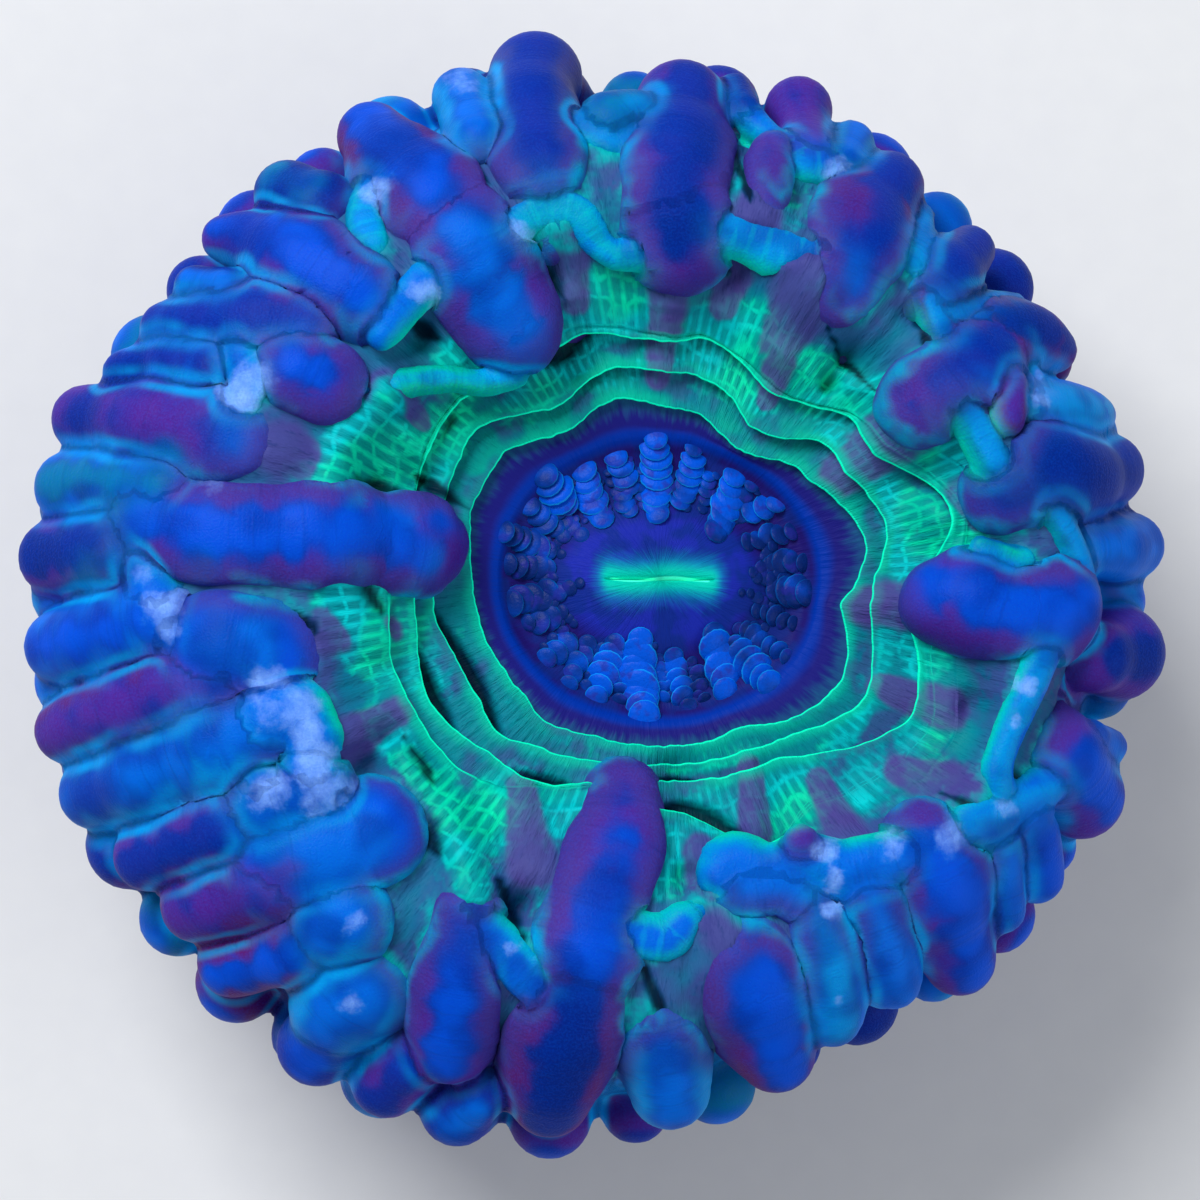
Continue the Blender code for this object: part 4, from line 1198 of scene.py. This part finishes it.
def foldTree(sizes):
    tree, sockets, start, given = newTree("overlappingFolds", sizes)
    curve = addNode(tree, "GeometryNodeMeshToCurve", {"Mesh": Wire(start, "Geometry")})
    even = {"Curve": Wire(curve), "Length": given["Spacing"]}
    points = addNode(tree, "GeometryNodeResampleCurve", even, mode="LENGTH")
    facets = {"Segments": given["Segments"], "Rings": given["Rings"]}
    ball = addNode(tree, "GeometryNodeMeshUVSphere", facets)
    # each ball keeps how far its points stand from its middle plane
    place = Wire(addNode(tree, "GeometryNodeInputPosition"))
    height = Wire(addNode(tree, "ShaderNodeSeparateXYZ", {0: place}), "Z")
    rise = {"Geometry": Wire(ball), "Name": "rise", "Value": maths("ABSOLUTE", height)}
    marked = addNode(tree, "GeometryNodeStoreNamedAttribute", rise, data_type="FLOAT", domain="POINT")
    girth, lean = readNamed(tree, "girth"), readNamed(tree, "lean", "FLOAT_VECTOR")
    scale = {"X": girth, "Y": girth, "Z": girth * given["Flatness"]}
    endTree(tree, start, {
        "Points": Wire(points),
        "Instance": Wire(marked),
        "Rotation": Wire(addNode(tree, "FunctionNodeAlignRotationToVector", {"Vector": lean}, axis="Z")),
        "Scale": Wire(addNode(tree, "ShaderNodeCombineXYZ", scale)),
    })
    return tree, sockets


def foldMaterial():
    material, tree, shader = newMaterial("foldTissue", 0.4, 0.08)
    place = bodyPlace(tree)
    rise, size, lit = readMasks(tree, "rise", "girth", "glow")
    cloud = grain(place, 2.6)
    fine = grain(place, 0.25)
    bright = size * lit + (cloud - 0.5) * 1.8
    tone = blend(spread(bright, 0.3, 1.1), paint(8, 36, 104), paint(0, 80, 205))
    tone = blend(spread(grain(place, 1.1), 0.52, 0.66, 0.0, 0.6), tone, paint(36, 36, 140))
    rim = spread(rise, 0.04, 0.34, 0.75, 0.0)
    tone = blend(rim, tone, blend(spread(bright, 0.3, 1.1), paint(4, 74, 150), paint(20, 160, 240)))
    tone = blend(spread(fine, 0.5, 0.8, 0.0, 0.2), tone, paint(0, 20, 120))
    dressShader(shader, tone, fine, 0.05, tone, 0.12)
    return material


def makeFolds():
    labels = ("Spacing", "Flatness", "Segments", "Rings")
    sizes = {label: papillae[label.lower()] for label in labels}
    material = foldMaterial()
    finishPiece(applyTree(foldRows(), foldTree, sizes, material, "papillae"), material)


makeFolds()


# the skin over the lobes
def swellingTree(sizes):
    tree, sockets, start, given = newTree("swellingsAlongPaths", sizes)
    curve = addNode(tree, "GeometryNodeMeshToCurve", {"Mesh": Wire(start, "Geometry")})
    soft = addNode(tree, "GeometryNodeCurveSplineType", {"Curve": Wire(curve)}, spline_type="CATMULL_ROM")
    even = {"Curve": Wire(soft), "Length": given["Spacing"]}
    points = addNode(tree, "GeometryNodeResampleCurve", even, mode="LENGTH")
    # girth x (1 + swell x noise + depth x (|cos| - 0.75)), so one lobe reads as several bulges
    noiseSizes = {"Detail": 0.0, "Scale": given["Swell size"]}
    wander = (Wire(addNode(tree, "ShaderNodeTexNoise", noiseSizes), "Fac") - 0.5) * given["Swell"]
    reach = Wire(addNode(tree, "GeometryNodeSplineParameter"), "Length")
    wave = maths("COSINE", reach * math.pi / given["Bulge length"])
    bulge = (maths("ABSOLUTE", wave) - 0.75) * given["Bulge depth"]
    size = readNamed(tree, "girth") * (wander + bulge + 1.0)
    ball = addNode(tree, "GeometryNodeMeshIcoSphere", {"Subdivisions": given["Roundness"]})
    endTree(tree, start, {"Points": Wire(points), "Instance": Wire(ball), "Scale": size})
    return tree, sockets


def coreBody():
    # turned body, kept just under the terraces where they cover it
    verts = []
    for distance, height in lobes["core"]:
        for angle in fullTurn(lobes["coreAround"]):
            reach = distance - drawnIn(angle, distance)
            x, y, z = reach * math.cos(angle), reach * math.sin(angle), height
            ray = Vector((x, y, 60)), Vector((0, 0, -1))
            cover = terraceTree.ray_cast(*ray)[0] if height > 25 else None
            if cover is not None:
                z = min(z, cover.z - between(lobes["coreCover"], distance))
            elif math.hypot(x - mouth[0], y - mouth[1]) < 17:
                z = min(z, lobes["coreUnderDisc"])
            verts.append((x, y, z))
    return verts, ringFaces(len(lobes["core"]), lobes["coreAround"])


def joinedSkin(chains, material):
    sizes = {
        "Spacing": lobes["spacing"], "Swell": lobes["swell"], "Swell size": lobes["swellSize"],
        "Bulge length": lobes["bulgeLength"], "Bulge depth": lobes["bulgeDepth"], "Roundness": 3,
    }
    paths = [[ball[:3] for ball in path] for flank, crest, path, kind in chains]
    girths = [ball[3] for flank, crest, path, kind in chains for ball in path]
    line = pathsObject("chainPaths", paths, girth=girths)
    swellings = applyTree(line, swellingTree, sizes, material, "swellings")
    core = plainObject("core", *coreBody())
    both = bmesh.new()
    both.from_mesh(swellings.data)
    both.from_mesh(core.data)
    bmesh.ops.remove_doubles(both, verts=both.verts, dist=0.0001)
    data = bpy.data.meshes.new("skinStock")
    both.to_mesh(data)
    both.free()
    for spare in (swellings, core):
        bpy.data.objects.remove(spare, do_unlink=True)
    stock = linkObject("skinStock", data)
    join = stock.modifiers.new("one skin", "REMESH")
    join.mode = "VOXEL"
    join.voxel_size = lobes["grid"]
    ease = stock.modifiers.new("ease", "SMOOTH")
    ease.factor = 0.5
    ease.iterations = 4
    thin = stock.modifiers.new("thin", "DECIMATE")
    thin.ratio = lobes["thinning"]
    return bakeShape(stock, "lobes")


# listed colour washes over the lobes
washes = {
    "warp": 0.9,
    "heights": (26, 31),         # where the washes fade in
    "paleReach": 1.35,
    # pale spots: place on the ground plan, reach, strength
    "pale": [
        (-25.2, 13.8, 1.4, 0.9), (-28, 6.5, 0.8, 0.5), (-32.5, 0.6, 0.8, 0.6), (-16.4, 27.6, 1.1, 0.9),
        (-13, 20.2, 0.9, 0.9), (-6.3, 24.8, 0.7, 0.8), (-10, 36.4, 1.1, 0.6), (16.6, 30.2, 0.9, 0.7),
        (-31, -2.2, 1.2, 0.9), (-23.6, -7, 0.9, 0.8), (-21.6, -8.8, 1.5, 0.8), (-24, -9.4, 0.9, 0.6),
        (-21.2, -10.4, 1.2, 0.9), (-20.3, -12, 1.1, 1), (-20.4, -13.4, 1.1, 0.9), (-19.8, -14.6, 1.5, 0.7),
        (-23.4, -14.8, 1.3, 0.8), (-6.5, -25.8, 0.7, 0.7), (29.9, -7.2, 0.6, 0.9), (28.9, -9.6, 0.4, 0.7),
        (15.4, -18.8, 0.8, 0.9), (15.6, -20.6, 0.6, 0.9), (15.4, -23, 0.6, 0.9), (19.9, -18.4, 0.8, 0.7),
        (24, -17.6, 0.9, 0.7), (28.2, -15.4, 0.8, 0.7), (-17.6, -29.2, 0.9, 0.6), (-18, -23.6, 0.7, 0.7),
        (16.2, -29.4, 0.5, 0.6), (31, 13.6, 0.5, 0.7), (-30.6, -3.8, 0.8, 0.8), (-25.4, 12.8, 1, 1),
    ],
    # tint, place on the ground plan, reach, strength
    "tinted": [
        ("azure", -17.4, -17.4, 1.8, 0.8), ("plum", -22.4, -20, 1.6, 0.7), ("royal", 23.4, 0.2, 1.9, 0.9),
        ("azure", 17, 21.4, 2.2, 0.8), ("navy", 16, 20.6, 0.9, 0.7), ("plum", 15.6, 23, 0.9, 0.7),
        ("maroon", 17.2, 27.4, 1.8, 0.7), ("azure", 27.2, 14.6, 1, 0.6), ("azure", -6.6, 18.2, 2.4, 0.8),
        ("cyan", -18.6, 17.4, 1.2, 0.7), ("azure", -14.8, 4.6, 1.5, 0.8), ("azure", -12.6, 1.6, 1.2, 0.8),
        ("royal", -15.6, 3.4, 1.9, 0.9), ("royal", -13.4, 2.4, 1.2, 0.8), ("royal", -11.6, 4.2, 1.2, 0.8),
        ("cyan", -17.5, 6.2, 0.9, 0.8), ("cyan", -17.6, 0.4, 1, 0.8), ("cyan", -13.6, -0.2, 0.9, 0.8),
        ("teal", -31, 8.2, 1.6, 0.9), ("teal", -35, 5.4, 1.6, 0.9), ("teal", -36, 0.4, 1.6, 0.9),
        ("teal", -28.4, 0.2, 1.6, 0.9), ("navy", 7.6, 31, 2.2, 0.8), ("navy", -15.2, 31, 2.8, 0.75),
        ("violet", -25.6, 24.8, 2.6, 0.85), ("violet", -29.2, 18.2, 2.8, 0.85),
        ("navy", -22.6, 28.6, 1.5, 0.8), ("navy", -34.2, 15.4, 1.5, 0.8), ("navy", -37.2, 12.5, 1.8, 0.8),
        ("heather", -34.4, 2.6, 2.2, 0.8), ("violet", -36.2, -14.6, 2.4, 0.85),
        ("violet", -0.2, -21.4, 2, 0.75), ("violet", -10, -25.4, 2.2, 0.75),
        ("azure", 30.4, -16.4, 1.6, 0.9), ("cyan", 14.6, -22, 1.4, 0.8), ("cyan", 2.5, 34.5, 1.2, 0.8),
        ("cyan", -7.2, 24.8, 1, 0.9), ("cyan", -9.5, -18.6, 1.8, 0.9), ("azure", -25.6, 9.6, 2, 0.9),
        ("azure", -19, -10, 1.2, 0.8),
    ],
}


def softened(data, values, rounds):
    # each point takes the average of itself and its neighbours
    ends = np.empty(len(data.edges) * 2, dtype=np.int64)
    data.edges.foreach_get("vertices", ends)
    first, second = ends.reshape(-1, 2).T
    count = len(values)
    near = 1.0 + np.bincount(first, minlength=count) + np.bincount(second, minlength=count)
    for turn in range(rounds):
        for part in range(values.shape[1]):
            column = values[:, part]
            total = column + np.bincount(first, column[second], count)
            values[:, part] = (total + np.bincount(second, column[first], count)) / near
    return values


def washedTints(points, flank, crest):
    # the two tints under the washes, and how pale each point is
    warp = np.stack([roughness(points, 2.2, seed) for seed in (2.0, 3.0)], axis=1) * washes["warp"]
    warped = points[:, :2] + warp
    above = smoothStep(points[:, 2], *washes["heights"])

    def washShare(x, y, reach, strength):
        far = np.hypot(warped[:, 0] - x, warped[:, 1] - y) / reach
        return strength * np.exp(-far ** 3) * above

    pale = np.zeros(len(points))
    for x, y, reach, strength in washes["pale"]:
        pale = np.maximum(pale, washShare(x, y, reach * washes["paleReach"], strength))
    for tint, *place in washes["tinted"]:
        share = washShare(*place)[:, None]
        flank, crest = (tone + (np.array(tints[tint]) - tone) * share for tone in (flank, crest))
    return flank, crest, pale


def terraceGap(points, distance):
    # how far each upper point is from the terraces; those out of their reach keep a large number
    search, farOff = 4.0, 9.0
    gap = np.full(len(points), farOff)
    for index in np.nonzero((points[:, 2] > 29) & (distance < 36))[0]:
        hit = terraceTree.find_nearest(Vector(points[index]), search)
        if hit[0] is not None:
            gap[index] = hit[3]
    return gap


def skinMasks(piece, chains):
    data = piece.data
    points = meshPoints(data)
    distance = np.hypot(points[:, 0], points[:, 1])
    touching = terraceGap(points, distance)
    read = readSkin(points, chains)
    chain = read["chain"].astype(int)
    isFrill = np.array([kind == "frill" for flank, crest, path, kind in chains])[chain]
    isWall = np.array([kind == "wall" for flank, crest, path, kind in chains])[chain]
    # swell the skin out where two lobes meet and where a lobe meets the slope
    fillet, skirt = lobes["fillet"], np.where(isFrill, lobes["frillSkirt"], lobes["skirt"])
    out = fillet / 4 * (1 - np.clip(read["gap"], 0, fillet) / fillet) ** 2
    out += skirt / 4 * (1 - np.clip(touching / skirt, 0, 1)) ** 2
    swollen = points + meshPoints(data, "normal") * out[:, None]
    data.vertices.foreach_set("co", swollen.ravel())

    outward = np.stack([points[:, 0], points[:, 1], 0 * distance], axis=1) / np.maximum(distance, 1)[:, None]
    lowDown = np.maximum(isWall, smoothStep(-points[:, 2], -26, -18))
    lean = 0.15 + 0.75 * smoothStep(distance, 28, 40) + 2.0 * lowDown
    up = towards(np.array([0, 0, 1.0]) + outward * lean[:, None])
    ridge = np.arccos(np.clip((towards(read["side"]) * up).sum(1), -1, 1))
    # scalloped edge of the crest colour, a tooth every few millimetres
    scallop = 0.12 + 0.22 * smoothStep(-points[:, 0], 7, 13)
    ridge = ridge + scallop * (np.abs(np.sin(read["along"] + 2.0 * roughness(points, 6.0, 1.0))) - 0.6)

    flank, crest = (np.array([tints[each[part]] for each in chains])[chain] for part in (0, 1))
    flank, crest = (softened(data, tone, lobes["tintRounds"]) for tone in (flank, crest))
    flank, crest, pale = washedTints(points, flank, crest)
    inward = (*mouth, 0) - points
    inward[:, 2] = -6.0
    hem = smoothStep((read["side"] * towards(inward)).sum(1), 0.35, 0.85) * isFrill
    isGreen = [each[0] in ("cyan", "aqua", "jade") and each[3] == "frill" for each in chains]
    rough = [hem, isFrill, smoothStep(read["crease"], 0.35, 1.1), np.array(isGreen)[chain]]
    soft = softened(data, np.stack(rough, axis=1).astype(float), 4)
    keepMasks(data, **dict(zip(("hem", "frill", "crease", "ladder"), soft.T)))
    keepMasks(
        data, flank=flank, crest=crest, pale=pale, ridge=ridge, gap=read["gap"], touch=touching,
        # depth below the top line drives the painted shade low down on the lobes
        depth=lobeTop(points[:, 0], points[:, 1]) - points[:, 2],
        weave=np.stack([read["along"] * mm, ridge * 0.4 * mm, 0 * ridge], axis=1),
    )


def lobeMaterial():
    material, tree, shader = newMaterial("lobeTissue", 0.45, 0.05, 0.2)
    place = bodyPlace(tree)
    flank, crest = readMask(tree, "flank", "Vector"), readMask(tree, "crest", "Vector")
    ridge, gap, touch, depth = readMasks(tree, "ridge", "gap", "touch", "depth")
    hem, frill, crease, ladder = readMasks(tree, "hem", "frill", "crease", "ladder")
    weave = readMask(tree, "weave", "Vector")
    cloud = grain(place, 6.0, 1.0)
    region = grain(place, 7.0, 1.0)
    patchy = grain(place, 3.2, 0.5)
    ragged = grain(place, 1.8, 0.8) - 0.5
    speck = grain(place, 0.16, 1.0)
    lines = grain(weave, 0.30, 1.0)
    # ridge is the angle down from the crest line, in radians
    crestEdge = ridge + (cloud - 0.5) * 0.5
    crestEdge = crestEdge + ragged * 0.4
    crestShare = spread(crestEdge, 0.34, 0.92, 1.0, 0.0)
    flankTone = blend(spread(patchy, 0.5, 0.72, 0.0, 0.4), flank, paint(26, 44, 150))
    crestTone = blend(spread(patchy, 0.45, 0.7, 0.0, 0.55), crest, paint(0, 42, 150))
    # the crest band is darker along its edge
    edgeShare = spread(crestEdge, 0.15, 0.7, 0.0, 0.4) * (1.0 - frill)
    crestTone = blend(edgeShare, crestTone, paint(0, 36, 140))
    tone = blend(crestShare, flankTone, crestTone)
    # low down the lobes are darkened to dusky blue as painted shade, and turn cyan in places where they meet
    tone = blend(spread(depth, 3.0, 9.0, 0.0, 0.4), tone, paint(4, 36, 110))
    nearNext = gap + ragged * 2.0
    meeting = spread(nearNext, -0.2, 2.0, 0.95, 0.0) * spread(region, 0.42, 0.54)
    meeting = meeting * crease
    tone = blend(meeting, tone, paint(0, 128, 208))
    # against the slope they share its dusky purple and its cyan
    base = spread(touch, 0.3, 2.2, 0.75, 0.0) * (1.0 - frill)
    tone = blend(base, tone, paint(64, 52, 140))
    nearSlope = touch + ragged * 1.4
    contact = spread(nearSlope, -0.4, 0.8, 0.8, 0.0) * spread(region, 0.45, 0.56)
    tone = blend(contact, tone, paint(2, 160, 190))
    tone = blend(hem, tone, paint(12, 205, 165))
    rungs = maths("SINE", firstPart(weave) * (5.0 / mm))
    rungs = spread(rungs + ragged * 2.5, 0.3, 1.2, 0.0, 0.16) * ladder
    tone = blend(rungs, tone, paint(20, 215, 205))
    # a thin light cyan rim, partly tissue colour and partly painted highlight, and a painted shadow line
    # where two lobes press together
    rim = spread(gap, 0.4, 0.9) * spread(gap, 1.0, 1.6, 1.0, 0.0)
    rim = rim * spread(depth, 4.0, 12.0, 1.0, 0.4)
    rim = rim * spread(cloud, 0.42, 0.6, 0.15, 0.65) * crease
    tone = blend(rim, tone, paint(0, 158, 224))
    creaseShadow = spread(gap, 0.0, 0.8, 0.5, 0.0) * (crease * spread(frill, 0.0, 1.0, 1.0, 0.45))
    tone = blend(creaseShadow, tone, paint(0, 16, 66))
    mottled = readMask(tree, "pale") + (grain(place, 1.0, 3.0, 0.6) - 0.5) * 0.9
    tone = blend(spread(mottled, 0.2, 1.2), tone, paint(124, 176, 255))
    tone = blend(spread(speck, 0.35, 0.75, 0.0, 0.16), tone, paint(30, 90, 220))
    tone = pureBlue(blend(spread(lines, 0.5, 0.8, 0.0, 0.16), tone, paint(8, 24, 100)))
    shining = maths("MAXIMUM", maths("MAXIMUM", contact, meeting), hem)
    glow = blend(shining, (0, 0, 0), tone)
    dressShader(shader, tone, lines + speck, 0.04, glow, 0.2)
    return material


def makeLobes(chains):
    material = lobeMaterial()
    piece = joinedSkin(chains, material)
    print("skin", len(piece.data.vertices), "points")
    skinMasks(piece, chains)
    finishPiece(piece, material)
    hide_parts("polyp")


makeLobes(allChains)


# stony foot: ribbed plates standing out of a short stem, cut off flat
foot = {
    "around": 912,
    # distance from the middle, height
    "rows": [
        (0.01, 0), (12, 0), (22.8, 0), (23.2, 0.25), (23.5, 1.5), (24, 3.2), (24.8, 5), (25.5, 6.6),
        (26.2, 8.2), (27, 9.6), (26.5, 10.4), (20, 10.4), (0.01, 10.4),
    ],
    "ribs": 76,
    "ribHeight": 0.75,
}


def makeFoot():
    bearing = fullTurn(foot["around"])
    wave = 0.5 + 0.5 * np.cos(bearing * foot["ribs"] + 1.4 * roundNoise(bearing, 6, 2.0, 21))
    blade = wave ** 2.2 * (0.65 + 0.35 * np.cos(bearing * foot["ribs"] / 2))
    listed, rows = foot["rows"], []
    for (r0, z0), (r1, z1) in zip(listed, listed[1:]):
        steps = 5 if 20 < r0 < 29 and r1 > 20 else 2
        for share in np.arange(steps) / steps:
            rows.append((r0 + (r1 - r0) * share, z0 + (z1 - z0) * share))
    shaped, rib = [], []
    for reach, height in rows + listed[-1:]:
        standing = smoothStep(height, 0.1, 1.2) * (21 < reach < 29.4)
        teeth = 0.16 * roundNoise(bearing, reach, 0.7, height * 1.7)
        stem = reach - drawnIn(bearing, reach) - (0.75 if reach > 20 else 0)
        shaped.append((stem + standing * (foot["ribHeight"] * blade + teeth), height + 0 * bearing))
        rib.append(blade * standing)
    piece = loftRound("foot", shaped, (0, 0), closeInside=True, closeOutside=True)
    keepMasks(piece.data, rib=np.concatenate(rib))
    # joins doubled points and turns every face outwards
    whole = bmesh.new()
    whole.from_mesh(piece.data)
    bmesh.ops.remove_doubles(whole, verts=whole.verts, dist=0.001)
    bmesh.ops.recalc_face_normals(whole, faces=whole.faces)
    whole.to_mesh(piece.data)
    whole.free()
    return piece


def stoneMaterial():
    material, tree, shader = newMaterial("coralStone", 0.85, 0.25)
    place = bodyPlace(tree)
    rib = readMask(tree, "rib")
    pores = addNode(tree, "ShaderNodeTexVoronoi", {"Vector": place, "Scale": 1.0 / (0.7 * mm)})
    rough = grain(place, 0.5, 4.0, 0.65)
    stain = grain(place, 7.0, 3.0)
    tone = blend(rib, paint(128, 118, 112), paint(222, 214, 198))
    tone = blend(spread(stain, 0.45, 0.7, 0.0, 0.6), tone, paint(120, 96, 122))
    tone = blend(spread(rough, 0.35, 0.7, 0.3, 0.0), tone, paint(90, 84, 84))
    dressShader(shader, tone, rough + Wire(pores, "Distance"), 0.25)
    return material


finishPiece(makeFoot(), stoneMaterial())
